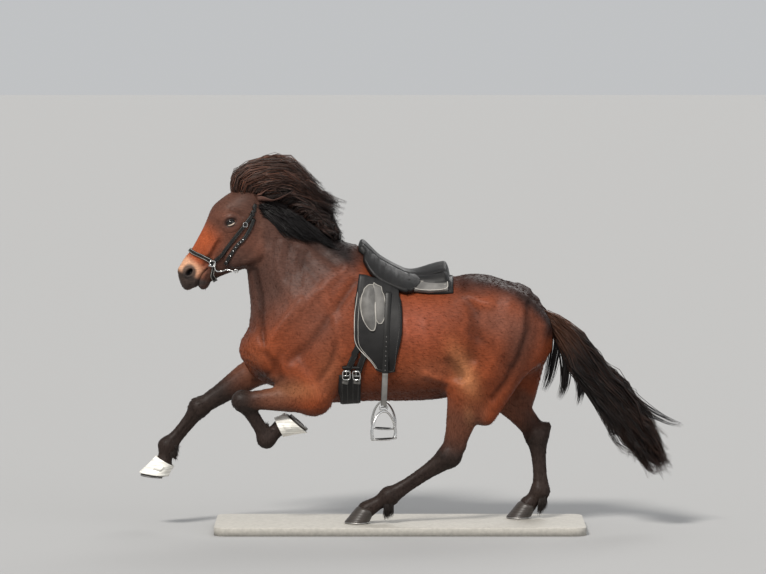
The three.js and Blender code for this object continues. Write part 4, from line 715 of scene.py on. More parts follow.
def tones(p, n):
    """Colour of the coat at points of the skin, with painted shade, the rider's painted shadow and painted
    sheen.
    """
    x, _, z = p.T
    tone = np.tile(BAY, (len(p), 1))

    def paint(colour, amount):
        tone[:] += (np.array(colour) - tone) * np.clip(amount, 0, 1)[:, None]

    xs, tops, bottoms, *_ = zip(*TRUNK)
    top, low = np.interp(x, xs, tops), np.interp(x, xs, bottoms)
    height = (z - low) / (top - low)
    upward = (x + 200) * -0.551 + (z - 1330) * 0.835
    paint(BROWN, smooth(upward, -150, 60) * 0.94)
    for cx, cz, rx, rz, turn, colour, strength in SPOTS_SHEEN_AND_SHADE:
        c, s = math.cos(math.radians(turn)), math.sin(math.radians(turn))
        u, v = (x - cx) * c + (z - cz) * s, (z - cz) * c - (x - cx) * s
        spot = np.exp(-np.square(u / rx) - np.square(v / rz))
        paint(colour, strength * spot * smooth(np.abs(n[:, 1]), 0.05, 0.4))
    # painted shade under the belly and every other part, by how far each face looks down
    paint(UNDERSIDE_SHADE, smooth(n[:, 2], -0.35, -0.95) * 0.55)
    # painted shadow of the rider on the top of the croup
    paint(SHADOW_BLACK, smooth(height, 0.74, 0.97) * smooth(x, 120, 380) * smooth(upward, 30, -30) * 0.95)
    # painted shadow along the top of the back from the withers
    paint(SHADOW_BLACK, smooth(height, 0.9, 1.0) * smooth(x, -420, -300) * smooth(upward, 30, -30) * 0.7)
    # painted shade at the back of the quarters, beside the tail
    paint(SHADOW_BLACK, smooth(x, 640, 716) * smooth(height, 0.35, 0.7) * 0.8)
    for (far, share), (first, last) in zip(leg_shares(p), BLACK_FROM):
        near = smooth(far, 150, 100)
        paint(LEG_TOP, smooth(share, first - 0.5, first) * near * 0.6)
        paint(POINT_BLACK, smooth(share, first, last) * near * 0.95)
    far, share, behind = head_place(p)
    head = head_mask(p)
    paint(FACE_BROWN, head * 0.9)
    paint(FOREHEAD, head * smooth(share, 0.05, 0.3) * smooth(share, 0.7, 0.5) * 0.6)
    paint(NOSE_RED, head * smooth(share, 0.30, 0.50) * smooth(behind, 135, 40) * 0.95)
    paint(JAW, head * smooth(behind, 120, 190) * smooth(share, 0.2, 0.5) * 0.75)
    paint(MEALY, head * smooth(share, 0.71, 0.80) * smooth(behind, 118, 60) * 0.95)
    paint(MUZZLE, head * smooth(share + behind * 0.0005, 0.875, 0.93) * 0.96)
    nostril_far = np.hypot(x - NOSTRIL["at"][0], (z - NOSTRIL["at"][2]) * 0.9)
    paint(MUZZLE, head * smooth(nostril_far, 40, 26) * 0.9)
    crest, _ = to_path(p * (1, 0, 1), CREST)
    # the mane's black roots along the crest, with painted shade under the mane
    paint(MANE_ROOT_SHADE, smooth(crest, 120, 46) * smooth(x, -150, -260) * (1 - head * 0.8) * 0.95)
    return tone


# Unwrap of the skin: one chart for each part of the body and each way that it faces, set side by side
def unwrap(points, faces, face_normals):
    centre = points[faces].mean(1)
    part = np.where(head_mask(centre) > 0.5, 1, 0)
    for i, (far, share) in enumerate(leg_shares(centre)):
        part[(far < 120) & (share > 0.3) & (part == 0)] = i + 2
    axis_of = np.argmax(np.abs(face_normals), 1)
    ahead = np.take_along_axis(face_normals, axis_of[:, None], 1)[:, 0] > 0
    chart = part * 6 + axis_of * 2 + ahead
    flat = np.stack([np.where(axis_of == 0, 1, 0), np.where(axis_of == 2, 1, 2)], 1)
    uv = np.take_along_axis(points[faces], np.repeat(flat[:, None], 4, 1), 2)
    corners = [(c, uv[chart == c].reshape(-1, 2)) for c in np.unique(chart)]
    charts = [(c, corner.min(0), corner.max(0)) for c, corner in corners]
    charts.sort(key=lambda row: row[1][1] - row[2][1])
    margin, width = 24.0, 5200.0
    at, shelf, high = np.array([margin, margin]), 0.0, 0.0
    for c, low, top in charts:
        size = top - low
        if at[0] + size[0] > width:
            at = np.array([margin, at[1] + shelf + margin])
            shelf = 0.0
        uv[chart == c] += at - low
        at = at + (size[0] + margin, 0)
        shelf = max(shelf, size[1])
        high = max(high, at[1] + shelf + margin)
    return uv / max(width + margin, high)


COAT_DEPTH = 2.5
DEFINITION = 1.35  # how strongly the muscles show
GRAIN = 1.045
# Steps of the skin's grid along each axis, finer at the head
SKIN_STEPS = [
    [(-1270, 9), (-1080, 4), (-780, 4.5), (-600, 10), (760, 10)],
    [(-330, 10), (-140, 6), (140, 6), (330, 10)],
    [(50, 8), (1120, 10), (1150, 4.5), (1500, 4.5), (1680, 8)],
]
skin_lines = [axis([(at, step * GRAIN) for at, step in stops]) for stops in SKIN_STEPS]
skin_points, skin_quads = nets(lambda p: flesh(p) + COAT_DEPTH, skin_lines)
skin_normals, _ = normals(skin_points, skin_quads)
lifts = relief(skin_points, skin_normals, RELIEF) * DEFINITION + tendons(skin_points, skin_normals)
lifts += relief(skin_points, skin_normals, FACE_RELIEF) * head_mask(skin_points)
skin_points = skin_points + skin_normals * lifts[:, None]


def nostril(p):
    """Each nostril is a slanting hollow with a raised rim; also gives where its inside is painted with shade.
    """
    x, y, z = NOSTRIL["at"]
    c, s = math.cos(math.radians(NOSTRIL["lean"])), math.sin(math.radians(NOSTRIL["lean"]))
    u, v = (p[:, 0] - x) * c + (p[:, 2] - z) * s, (p[:, 2] - z) * c - (p[:, 0] - x) * s
    r = np.hypot(u / NOSTRIL["long"], v / NOSTRIL["wide"])
    side = smooth(np.abs(p[:, 1]), 16, 30)
    hollow = -NOSTRIL["depth"] * smooth(r, 1.15, 0.35)
    return (hollow + 3.6 * np.exp(-np.square((r - 1.35) / 0.3))) * side, smooth(r, 1.25, 0.8) * side


dip, nostril_shade = nostril(skin_points)
skin_points = skin_points + np.sign(skin_points[:, 1:2]) * (0.35, 1, 0) * dip[:, None]
skin_normals, skin_face_normals = normals(skin_points, skin_quads)
skin_tones = tones(skin_points, skin_normals)
# painted shade in the grooves of the relief and painted highlight on its ridges
skin_tones *= 1 - 0.4 * smooth(-lifts, 1.0, 10.0)[:, None]
skin_tones *= 1 + 0.22 * smooth(lifts, 1.0, 6.0)[:, None]
# painted shade inside each nostril
skin_tones += (np.array(HOLLOW_SHADE) - skin_tones) * nostril_shade[:, None]
skin_uv = unwrap(skin_points, skin_quads, skin_face_normals)


def hair_look(name, shine, rough):
    """Hair or short coat: the stored colour in streaks that run the way the hair lies, with a fine relief."""
    look = Look(name)
    tone = look.node("Attribute", attribute_name="tone").outputs["Color"]
    ahead, down = (look.noise(1.0, 3.0, stretch) for stretch in ((40, 210, 170), (210, 230, 34)))
    height = look.node("SeparateXYZ", {"Vector": look.place}).outputs["Z"]
    low = look.ramp(height, 0.62, 0.78, 1.0, 0.0)
    streak = look.node("Mix", {"Factor": low, "A": ahead, "B": down}).outputs["Result"]
    fine = look.ramp(streak, 0.25, 0.75, 0.72, 1.3)
    broad = look.ramp(look.noise(7.0, 4.0), 0.3, 0.7, 0.85, 1.16)
    level = look.node("Math", {0: fine, 1: broad}, operation="MULTIPLY").outputs["Value"]
    look.set(
        Base_Color=look.scaled(tone, level), Roughness=rough, Specular_IOR_Level=shine,
        Normal=look.bump(streak, 0.2, 0.0010),
    )
    return look.material


coat_material = hair_look("coat", 0.13, 0.48)
fur_material = hair_look("fur", 0.05, 0.7)
skin = object_of("skin", skin_points, skin_quads, coat_material, skin_tones, skin_uv.reshape(-1, 2))
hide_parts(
    "head", "neck", "torso", "foreleg_left", "foreleg_right", "hindleg_left", "hindleg_right",
    "pastern_fore_left", "pastern_fore_right", "pastern_hind_left", "pastern_hind_right",
)

# Places on the skin: seeded points, each with a normal, a colour and a corner of the unwrap
random = np.random.default_rng(7)
face_area = np.linalg.norm(skin_face_normals, axis=1) / 2
face_centre = skin_points[skin_quads].mean(1)
PATCH = 0.003  # width of a lock's place in the unwrap


def scatter(count, weight):
    """Random places on the skin's faces, as many as asked where weight is high."""
    chance = face_area * weight
    face = random.choice(len(face_area), count, p=chance / chance.sum())
    u, v = random.random((2, count))
    share = np.stack([(1 - u) * (1 - v), u * (1 - v), u * v, (1 - u) * v], 1)[:, :, None]
    corners = skin_quads[face]
    place = (skin_points[corners] * share).sum(1)
    normal = unit((skin_normals[corners] * share).sum(1))
    return place, normal, (skin_tones[corners] * share).sum(1), (skin_uv[face] * share).sum(1)


def lie(p, n):
    """The way that the coat lies at points of the skin."""
    way = np.tile((0.86, 0.0, -0.5), (len(p), 1))
    way = mix(way, np.array([0.55, 0, -0.83]), smooth(p[:, 0], 330, 520)[:, None])
    way = mix(way, np.array([0.35, 0, -0.94]), smooth(p[:, 0], -330, -480)[:, None])
    head = head_mask(p)[:, None]
    way = mix(way, np.array([-0.55, 0, -0.8]), head)
    for leg, (far, share) in zip(LEGS, leg_shares(p)):
        points = [np.array(leg[joint], float) for joint in leg["joints"]]
        along = unit(np.diff(points, axis=0))[np.clip(share.astype(int), 0, 2)]
        near = (smooth(share, 0.0, 0.4) * smooth(far, 140, 90))[:, None]
        way = mix(way, along, near * (1 - head))
    way = way - n * (way * n).sum(1, keepdims=True)
    return unit(way + random.normal(0, 0.12, way.shape))


def patches(uv, rows):
    """A patch of the unwrap for each lock, at its root's place, with its points at the rows given."""
    return uv[:, None] + (np.array(rows) - 0.5) * PATCH


def tufts(name, count, weight, length, width, lift):
    """Short locks that stand a little off the skin: three sides, closed at the root, down to a point."""
    place, n, tone, uv = scatter(count, weight)
    along = lie(place, n)
    across = np.cross(n, along)
    size = random.uniform(0.7, 1.3, (count, 1))
    rise = n * lift * random.uniform(0.5, 1.3, (count, 1)) * size
    root = place - n * 0.9
    points = np.stack([
        root - across * width / 2,
        root + across * width / 2,
        root + n * (0.9 + width * 0.5),
        place + along * length * size + rise,
    ], 1)
    sides = [(0, 1, 3), (1, 2, 3), (2, 0, 3), (0, 2, 1)]
    faces = (np.arange(count)[:, None, None] * 4 + sides).reshape(-1, 3)
    shade = tone * random.uniform(1.0, 1.4, (count, 1))
    flat = patches(uv, [(0, 0), (1, 0), (0.5, 0.3), (0.5, 1)]).reshape(-1, 2)
    piece = object_of(name, points.reshape(-1, 3), faces, fur_material, shade.repeat(4, 0), flat)


on_head = head_mask(face_centre)
low_down = smooth(face_centre[:, 2], 620, 480)
body_share = (1 - on_head) * (1 - low_down)
THIN = 1.0
FUR = [
    # piece, locks, where, length, width, lift
    *((f"body_{i + 1}", 16500, body_share, 14, 1.4, 0.4) for i in range(3)),
    ("face", 16000, on_head, 5.5, 1.1, 0.35),
    ("legs", 16000, low_down * (1 - on_head), 9, 1.4, 0.6),
]
for name, count, weight, *size in FUR:
    tufts("fur_" + name, int(count * THIN), weight, *size)


# Hair: [top x, top z, bottom x, bottom z, half width] down the tail, and the lines that the hair follows
TAIL = [
    (676, 1064, 706, 968, 30),
    (770, 1034, 738, 900, 42),
    (836, 990, 772, 812, 50),
    (922, 892, 818, 736, 57),
    (1010, 772, 884, 658, 60),
    (1106, 650, 978, 544, 60),
    (1182, 544, 1054, 430, 54),
    (1222, 458, 1130, 340, 44),
    (1254, 358, 1196, 288, 28),
    (1266, 306, 1240, 270, 12),
]
FORELOCK = [
    [(-774, 1590), (-784, 1690), (-704, 1760), (-596, 1782), (-494, 1754), (-424, 1672)],
    [(-744, 1594), (-746, 1676), (-680, 1738), (-584, 1756), (-482, 1724), (-414, 1652)],
    [(-706, 1600), (-706, 1664), (-650, 1710), (-556, 1722), (-462, 1690), (-400, 1622)],
]
MANE = [
    [(-620, 1556), (-596, 1620), (-536, 1648), (-456, 1636), (-376, 1600), (-302, 1568)],
    [(-550, 1530), (-528, 1584), (-474, 1604), (-412, 1586), (-360, 1556), (-322, 1526)],
    [(-452, 1474), (-440, 1520), (-406, 1546), (-370, 1524), (-338, 1494), (-306, 1462)],
    [(-352, 1410), (-350, 1446), (-336, 1460), (-318, 1444), (-300, 1424), (-282, 1402)],
]
BESIDE = [
    [(-640, 1560), (-588, 1538), (-520, 1494), (-446, 1440), (-384, 1408)],
    [(-646, 1530), (-612, 1500), (-566, 1452), (-514, 1416), (-462, 1394)],
    [(-560, 1540), (-508, 1508), (-446, 1466), (-388, 1422), (-338, 1400)],
    [(-474, 1490), (-430, 1462), (-386, 1426), (-344, 1392), (-300, 1380)],
]
MANE_CORE = [
    (-690, 1630, -650, 1570, 12),
    (-640, 1680, -600, 1560, 28),
    (-560, 1700, -530, 1530, 38),
    (-480, 1672, -470, 1490, 40),
    (-420, 1620, -410, 1450, 36),
    (-370, 1560, -360, 1420, 26),
    (-335, 1490, -330, 1400, 14),
]
SPREAD = dict(y=(16, 46, 58, 60, 54, 40), sink=50)
WISPS = [
    [(1040, 690), (1160, 588), (1262, 528), (1344, 502)],
    [(744, 930), (738, 850), (716, 740), (690, 668)],
    [(776, 880), (790, 780), (784, 690), (762, 634)],
    [(824, 800), (856, 724), (862, 660), (850, 606)],
]
HAIR_BLACK = (0.0065, 0.0055, 0.0055)
DOME = (0.046, 0.030, 0.025)
DOME_RED = (0.15, 0.058, 0.034)
DOCK = (0.085, 0.034, 0.018)
hair_material = hair_look("hair", 0.28, 0.42)


def along_paths(paths, steps):
    """Each path, an array of a few points, as a smooth curve of steps + 1 points; all paths at once."""
    paths = np.concatenate([paths[:, :1] * 2 - paths[:, 1:2], paths, paths[:, -1:] * 2 - paths[:, -2:-1]], 1)
    spans = paths.shape[1] - 3
    out = []
    for share in np.linspace(0, spans, steps + 1):
        i = min(int(share), spans - 1)
        out.append(catmull(paths[:, i], paths[:, i + 1], paths[:, i + 2], paths[:, i + 3], share - i))
    return np.stack(out, 1)


skin_tree = kdtree.KDTree(len(face_centre))
for i, centre in enumerate(face_centre):
    skin_tree.insert(centre, i)
skin_tree.balance()


def root_uv(roots):
    """The unwrap's place for roots of hair: that of the nearest face of the skin."""
    nearest = [skin_tree.find(root)[1] for root in roots.tolist()]
    return skin_uv[nearest].mean(1)


def strands(name, paths, width, tone, steps, ruffle):
    """Solid strands of three sides along many paths, thin at the root and down to a point at the tip."""
    count = len(paths)
    line = along_paths(paths, steps)
    share = np.linspace(0, 1, steps + 1)
    waves, phase = random.uniform(3, 8, (count, 1)), random.uniform(0, 6, (count, 1))
    wave = np.sin(share * waves + phase)
    line[:, :, 1] += wave * ruffle * share
    line[:, :, 2] += np.roll(wave, 1, 0) * ruffle * 0.6 * share
    along = unit(np.gradient(line, axis=1))
    aside = unit(np.cross(along, random.normal(0, 0.35, (count, 1, 3)) + (0, 0, 1)))
    up = np.cross(aside, along)
    taper = (0.35 + 0.65 * smooth(share, 0, 0.18)) * (1 - 0.94 * smooth(share, 0.45, 1.0))
    half = (width / 2 * random.uniform(0.7, 1.3, (count, 1)) * taper)[:, :, None]
    points = np.stack([line - aside * half, line + aside * half, line + up * half], 2).reshape(-1, 3)
    base = np.arange(count)[:, None, None] * (steps + 1) * 3
    sides = [(i * 3, a, b) for i in range(steps) for a, b in ((0, 1), (1, 2), (2, 0))]
    pattern = [(i + a, i + b, i + b + 3, i + a + 3) for i, a, b in sides]
    quads = (base + np.array(pattern)).reshape(-1, 4)
    ends = (base + np.array([(2, 1, 0), (steps * 3, steps * 3 + 1, steps * 3 + 2)])).reshape(-1, 3)
    places = [(across, i / steps) for i in range(steps + 1) for across in (0, 1, 0.5)]
    flat = patches(root_uv(line[:, 0]), places)
    shade = np.broadcast_to(tone * random.uniform(0.75, 1.35, (count, 1, 1)), (count, steps + 1, 3))
    faces, shade = quads.tolist() + ends.tolist(), shade.repeat(3, 1).reshape(-1, 3)
    object_of(name, points, faces, hair_material, shade, flat.reshape(-1, 2))


def clumped(centres, seed_spread, tip_spread, per):
    """Many paths round each centre path, spread at the root and drawn together at the tip."""
    count, joints, _ = centres.shape
    share = np.linspace(0, 1, joints)[None, :, None]
    offset = random.normal(0, 1, (count, per, 1, 3))
    spread = mix(seed_spread, tip_spread, share ** 1.4)[:, None]
    return (centres[:, None] + offset * spread).reshape(-1, joints, 3)


def midway(lines, row):
    """The line at each place between the lines given; places are counted in lines."""
    lines = np.array(lines, float)
    i = np.minimum(row.astype(int), len(lines) - 2)
    return mix(lines[i], lines[i + 1], (row - i).reshape(*row.shape, *[1] * (lines.ndim - 1)))


def over_crest(lines, clumps, per, spread):
    """Paths over the crest: between the lines given, leaning to both sides, in clumps."""
    line = midway(lines, random.uniform(0, len(lines) - 1, clumps))
    lean = random.uniform(-1, 1, clumps)
    share = np.linspace(0, 1, line.shape[1])
    drop = SPREAD["sink"] * (1 - np.sqrt(1 - np.square(lean * 0.96)))
    y = lean[:, None] * np.array(SPREAD["y"])
    z = line[:, :, 1] - drop[:, None] * np.minimum(share * 2, 1) - 12 * smooth(share, 0, 0.3)
    centres = np.stack([line[:, :, 0], y, z], 2)
    centres += random.normal(0, 1, centres.shape) * (3 + share * 13)[None, :, None]
    stretch = random.uniform(0.78, 1.05, (clumps, 1, 1))
    centres = centres[:, :1] + (centres - centres[:, :1]) * mix(1, stretch, share[None, :, None])
    return clumped(centres, spread, spread * 0.35, per)


HAIR = 1.0
CREST_STEPS = 8
TAIL_STEPS = 9
CREST_HAIR = [
    # piece, lines, clumps, spread, width of a strand, how black
    ("mane_inner", [FORELOCK[2], MANE[0]], 88, 9, 5.4, 0.25),
    ("forelock", FORELOCK, 128, 9, 4.8, 0),
    ("mane", MANE, 108, 8, 4.8, 0.75),
]


def hair_core(rows, low, high, step):
    """A closed mesh of the mass under the strands."""
    spans = [axis([(a, step), (b, step)]) for a, b in zip(low, high)]
    return nets(field_of([outline(rows, 20)]), spans)


def dome_tone(count):
    red = np.clip(random.normal(0.25, 0.3, (count, 1, 1)), 0, 1)
    share = np.linspace(0, 1, CREST_STEPS + 1)[None, :, None]
    tip = smooth(share, 0.55, 1.1) * 0.7
    return mix(mix(np.array(DOME), np.array(DOME_RED), red), np.array(HAIR_BLACK) * 1.6, tip)


for i in range(2):
    for name, lines, clumps, spread, width, black in CREST_HAIR:
        paths = over_crest(lines, int(clumps * HAIR) + 8, 14, spread)
        tone = mix(dome_tone(len(paths)), np.array(HAIR_BLACK), black)
        strands(f"{name}_{i + 1}", paths, width, tone, CREST_STEPS, 5)

points, quads = hair_core(MANE_CORE, (-740, -60, 1370), (-300, 60, 1740), 12.0)
# the core's tone, the mane's brown taken most of the way to black, is painted shade of the hair deep in the
# mane
core_tone = np.tile(mix(np.array(DOME), np.array(HAIR_BLACK), 0.6), (len(points), 1))
object_of("mane_core", points, quads, hair_material, core_tone, root_uv(points))

neck_field = field_of([neck, trunk, *head_lofts()])
for side, name in SIDES:
    clumps = int(104 * HAIR) + 8
    line = midway(BESIDE, random.uniform(0, len(BESIDE) - 1, clumps))
    centres = np.stack([line[:, :, 0], np.full(line.shape[:2], side * 100.0), line[:, :, 1]], 2)
    centres += random.normal(0, 9, centres.shape) * (1, 0, 1)
    level = np.tile((-6, 5, 8, 9, 7), clumps) + random.uniform(-1, 5, clumps).repeat(5)
    centres = onto(neck_field, centres.reshape(-1, 3), level).reshape(clumps, 5, 3)
    short = random.uniform(0.3, 1.15, (clumps, 1, 1)) ** 0.6
    centres = centres[:, :1] + (centres - centres[:, :1]) * short
    paths = clumped(centres, 7, 6, 13)
    strands("mane_side_" + name, paths, 5.6, np.array(HAIR_BLACK) * 1.1, CREST_STEPS, 2)


def tail_points(row, down, across):
    tx, tz, bx, bz, half = midway(TAIL, row).transpose(-1, *range(row.ndim))
    return np.stack([mix(tx, bx, down), across * half * 0.9, mix(tz, bz, down)], -1)


def tail_strands(name, clumps, per, depths, starts):
    """Strands down the tail: how far out of its middle they lie, and the rows between which they start."""
    joints = np.linspace(0, 1, 7)
    turn = random.uniform(0, 2 * math.pi, (clumps, 1))
    reach = np.sqrt(random.uniform(*depths, (clumps, 1)))
    grow = mix(0.7, 1.12, joints)[None]
    across = np.sin(turn) * reach * grow
    down = 0.5 - 0.46 * np.cos(turn) * reach * grow
    first = random.uniform(*starts, (clumps, 1))
    last = random.uniform(5.6, 9.0, (clumps, 1))
    centres = tail_points(mix(first, last, joints[None]), down, across)
    centres += random.normal(0, 1, centres.shape) * (3 + joints * 20)[None, :, None]
    centres[:, -1] += np.array([26.0, 0, 20.0]) * random.uniform(0, 1, (clumps, 1)) ** 2
    paths = clumped(centres, 7.5, 4.0, per)
    share = np.linspace(0, 1, TAIL_STEPS + 1)[None, :, None]
    red = smooth(share * 6 + first.repeat(per)[:, None, None], 3.0, 0.6) * 0.75
    brown = np.clip(random.normal(0.2, 0.25, (len(paths), 1, 1)), 0, 1)
    tip = smooth(share, 0.75, 1.0) * 0.5
    upper = 1 - 0.6 * np.repeat(down.mean(1), per)[:, None, None]
    dock = np.clip(red + brown * 0.45 * upper + tip * 0.6, 0, 1)
    tone = mix(np.array(HAIR_BLACK) * 1.2, np.array(DOCK), dock)
    strands(name, paths, 5.0, tone, TAIL_STEPS, 11)


for i in range(2):
    tail_strands(f"tail_hair_{i + 1}", int(110 * HAIR) + 10, 13, (0.25, 1), (0.0, 3.6))
tail_strands("tail_hair_inner", int(60 * HAIR) + 10, 13, (0.0, 0.5), (1, 5))
paths = []
for i, line in enumerate(WISPS):
    centre = np.array([[(x, (i - 1.5) * 14, z) for x, z in line]], float)
    paths.append(clumped(centre, 14, 9 if i else 5, 60 if i else 26))
strands("tail_wisps", np.concatenate(paths), 4.0, np.array(HAIR_BLACK) * 1.5, TAIL_STEPS, 6)

rows = [(mix(bx, tx, 0.84), mix(bz, tz, 0.84), mix(bx, tx, 0.16), mix(bz, tz, 0.16), half * 0.66)
        for tx, tz, bx, bz, half in TAIL[:8]]
points, quads = hair_core(rows, (640, -110, 220), (1320, 110, 1120), 14.0)
red = smooth(points[:, :1], 940, 760)
core_tone = mix(np.array(HAIR_BLACK), np.array(DOCK) * 0.8, red)
core_piece = object_of("tail_core", points, quads, hair_material, core_tone, root_uv(points))
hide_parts("tail")


# Feather: long hair behind each fetlock, which hangs to the heel on the hind legs
def feather(leg, name, count):
    toe, _, _ = hoof_frame(leg)
    joint = np.array(leg["fetlock"], float)
    down = unit(coronet(leg) - joint)
    back = unit(-toe + down * (toe @ down))
    hind = leg in HINDS
    angle = random.uniform(-1, 1, count)
    start = random.uniform(-24 if hind else -40, 20, count)
    out, wide = np.cos(angle) * 35, np.sin(angle) * 33

    def at(o, a, w):
        return joint + back * o[:, None] + down * a[:, None] + SIDE * w[:, None]

    root = at(out - 8, start, wide)
    middle = at(out + random.uniform(2, 14, count), start + 26, wide * 1.05)
    fall = random.uniform(26, 62, count) if hind else random.uniform(12, 26, count)
    way = np.array([-0.1, 0, -1.0]) if hind else unit(back * 0.7 + down * 0.7)
    tip = middle + way * fall[:, None] + random.normal(0, 4, (count, 3))
    paths = np.stack([root, middle, (middle + tip) / 2 + back * 2, tip], 1)
    strands(name, paths, 3.4, np.array(POINT_BLACK) * 1.1, 6, 1.5)


for leg, name in zip(LEGS, LEG_NAMES):
    feather(leg, "feather_" + name, int((560 if leg in HINDS else 320) * max(HAIR, 0.3)))


# Eyes with their lids and brows
EYE = dict(x=-802, y=86, z=1468, radius=21)
head_field = field_of([*head_lofts(), neck])
eye_look = Look("eye")
eye_look.set(Base_Color=(0.006, 0.004, 0.003, 1), Roughness=0.04, Coat_Weight=0.6, Specular_IOR_Level=0.2)


def ring_grid(rows):
    """Quads between closed rings of points of equal length."""
    rows = np.asarray(rows)
    count, width = rows.shape[:2]
    faces = []
    for i in range(count - 1):
        for j in range(width):
            k = (j + 1) % width
            faces.append((i * width + j, i * width + k, (i + 1) * width + k, (i + 1) * width + j))
    return rows.reshape(-1, 3), faces


def capped(rows):
    """Rings of points as a closed mesh, with a face over both ends."""
    points, faces = ring_grid(rows)
    count = len(rows[0])
    last = len(points) - count
    return points, faces + [tuple(range(count))[::-1], tuple(range(last, last + count))]


def ellipsoid(at, radii, around=40, up=24):
    rows = []
    ring = np.linspace(0, 2 * math.pi, around, endpoint=False)
    for i in range(up + 1):
        rise = -math.pi / 2 + math.pi * i / up
        flat = max(math.cos(rise), 1e-3)
        circle = [np.cos(ring) * flat, np.sin(ring) * flat, np.full(around, math.sin(rise))]
        rows.append(np.stack(circle, 1) * radii + at)
    return ring_grid(rows)


# Reach of each ring beyond the eye's opening, and its height over the ball
LID_RINGS = ((-2.5, -0.8), (-0.6, 0.5), (0.8, 1.6), (3.2, 2.4), (6.0, 2.4), (8.5, 1.8), (11, 1.8), (15, 2.2))
# Dark lid skin, also used for painted shade round the eye; the lower lid's pale crescent, paler skin with a
# painted highlight
LID_DARK_AND_SHADE, LID_PALE_AND_LIT = np.array((0.010, 0.008, 0.008)), np.array((0.52, 0.42, 0.34))


def eye_lids(side):
    """Rings from inside the eye's opening, over its edge, out and down under the skin."""
    centre = np.array([EYE["x"], side * EYE["y"], EYE["z"]], float)
    turn = math.radians(-24)
    c, s = math.cos(turn), math.sin(turn)
    angle = np.linspace(0, 2 * math.pi, 72, endpoint=False)
    long, high = np.cos(angle), np.sin(angle)
    opening = np.where(high > 0, 12.0, 8.5)
    rings = []
    for reach, over in LID_RINGS:
        u = long * (19.5 + reach)
        v = high * (opening + reach * np.where(high > 0, 1.1, 0.9)) * np.abs(high) ** 0.15
        x, z = centre[0] + u * c + v * s, centre[2] + v * c - u * s
        far = np.hypot(x - centre[0], z - centre[2])
        r = EYE["radius"] + over
        y = np.sqrt(np.maximum(r * r - far * far, 4.0))
        rings.append(np.stack([x, centre[1] + side * y, z], 1))
    brow = 5.0 * np.exp(-np.square((angle - math.radians(80)) / math.radians(52)))
    for row, share in ((3, 0.12), (4, 0.3), (5, 0.65), (6, 0.9), (7, 1.0)):
        on_skin = onto(head_field, rings[row] * (1, 0, 1) + SIDE * side * 100, 2.2 + brow * share)
        rings[row] = mix(rings[row], on_skin, share)
    for reach, level in ((20, 2.4 + brow * 0.8), (27, 2.2 + brow * 0.3), (34, 0.4), (40, -3)):
        u, v = long * (19.5 + reach), high * (opening + reach)
        x, z = centre[0] + u * c + v * s, centre[2] + v * c - u * s
        rings.append(onto(head_field, np.stack([x, np.full(72, side * 100.0), z], 1), level))
    return np.array(rings), high


lid_material = hair_look("lids", 0.16, 0.46)
for side, name in SIDES:
    points, faces = ellipsoid(np.array([EYE["x"], side * EYE["y"], EYE["z"]]), EYE["radius"] - 0.2)
    ball_piece = object_of("eyeball_" + name, points, faces, eye_look.material)
    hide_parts("eye_" + name)
    rings, high = eye_lids(side)
    points, faces = ring_grid(rings)
    if side == RIGHT:
        faces = [face[::-1] for face in faces]
    n = np.tile((0.0, side, 0.0), (len(points), 1))
    tone = tones(points, n)
    row = np.arange(len(points)) // len(high)
    lower = np.tile(smooth(-high, 0.35, 0.95), len(rings))[:, None]
    shade = np.exp(-np.square(np.maximum(row - 4, 0) / 3.0))[:, None]
    # painted shade round the eye: the skin darkens towards the lids under the brow
    tone = mix(tone, LID_DARK_AND_SHADE * 2.5, shade * 0.75)
    # the lower lid is pale: its paler skin with a painted highlight
    tone = np.where(row[:, None] < 4, mix(LID_DARK_AND_SHADE, LID_PALE_AND_LIT, lower), tone)
    tone[row == 0] = LID_DARK_AND_SHADE
    piece = object_of("lids_" + name, points, faces, lid_material, tone, root_uv(points))

# Ears: a thick shell rolled round its length and open along one side, with hair inside
EARS = [
    ("left", (-655, -58, 1592), (-506, -106, 1620), (0.08, -0.9, 0.42)),
    ("right", (-668, 50, 1596), (-612, 92, 1706), (-0.5, 0.85, 0)),
]
EAR_BROWN, EAR_TIP = np.array((0.095, 0.048, 0.037)), np.array((0.035, 0.022, 0.019))
EAR_HAIR = np.array((0.030, 0.020, 0.017))
EAR_WIDTHS = [(0, 20), (0.12, 27), (0.3, 34), (0.55, 31), (0.8, 19), (0.94, 9), (1, 2.5)]


def ear_frame(root, tip, open_way):
    a, b = np.array(root, float), np.array(tip, float)
    along = unit(b - a)
    face = unit(np.array(open_way) - along * (np.array(open_way) @ along))
    return a, b, along, face, np.cross(along, face)


def ear_shell(root, tip, open_way):
    a, b, along, face, aside = ear_frame(root, tip, open_way)
    rows = []
    for share in np.linspace(-0.12, 1, 26):
        half = np.interp(share, *zip(*EAR_WIDTHS))
        gap = math.radians(np.interp(share, (0, 0.15, 0.4, 0.8, 1), (8, 34, 78, 60, 20)))
        bend = along * np.linalg.norm(b - a) * share + face * 5 * math.sin(math.pi * max(share, 0))
        angle = np.linspace(math.pi / 2 + gap, math.pi * 2.5 - gap, 28)
        wall = min(2.6, half * 0.4)
        row = []
        for turns, inset in ((angle, 0), (angle[::-1], wall)):
            wide, deep = aside * (half - inset), face * (half * 0.74 - inset)
            row += [a + bend + wide * math.cos(t) + deep * math.sin(t) for t in turns]
        rows.append(row)
    return *capped(rows), len(rows[0])


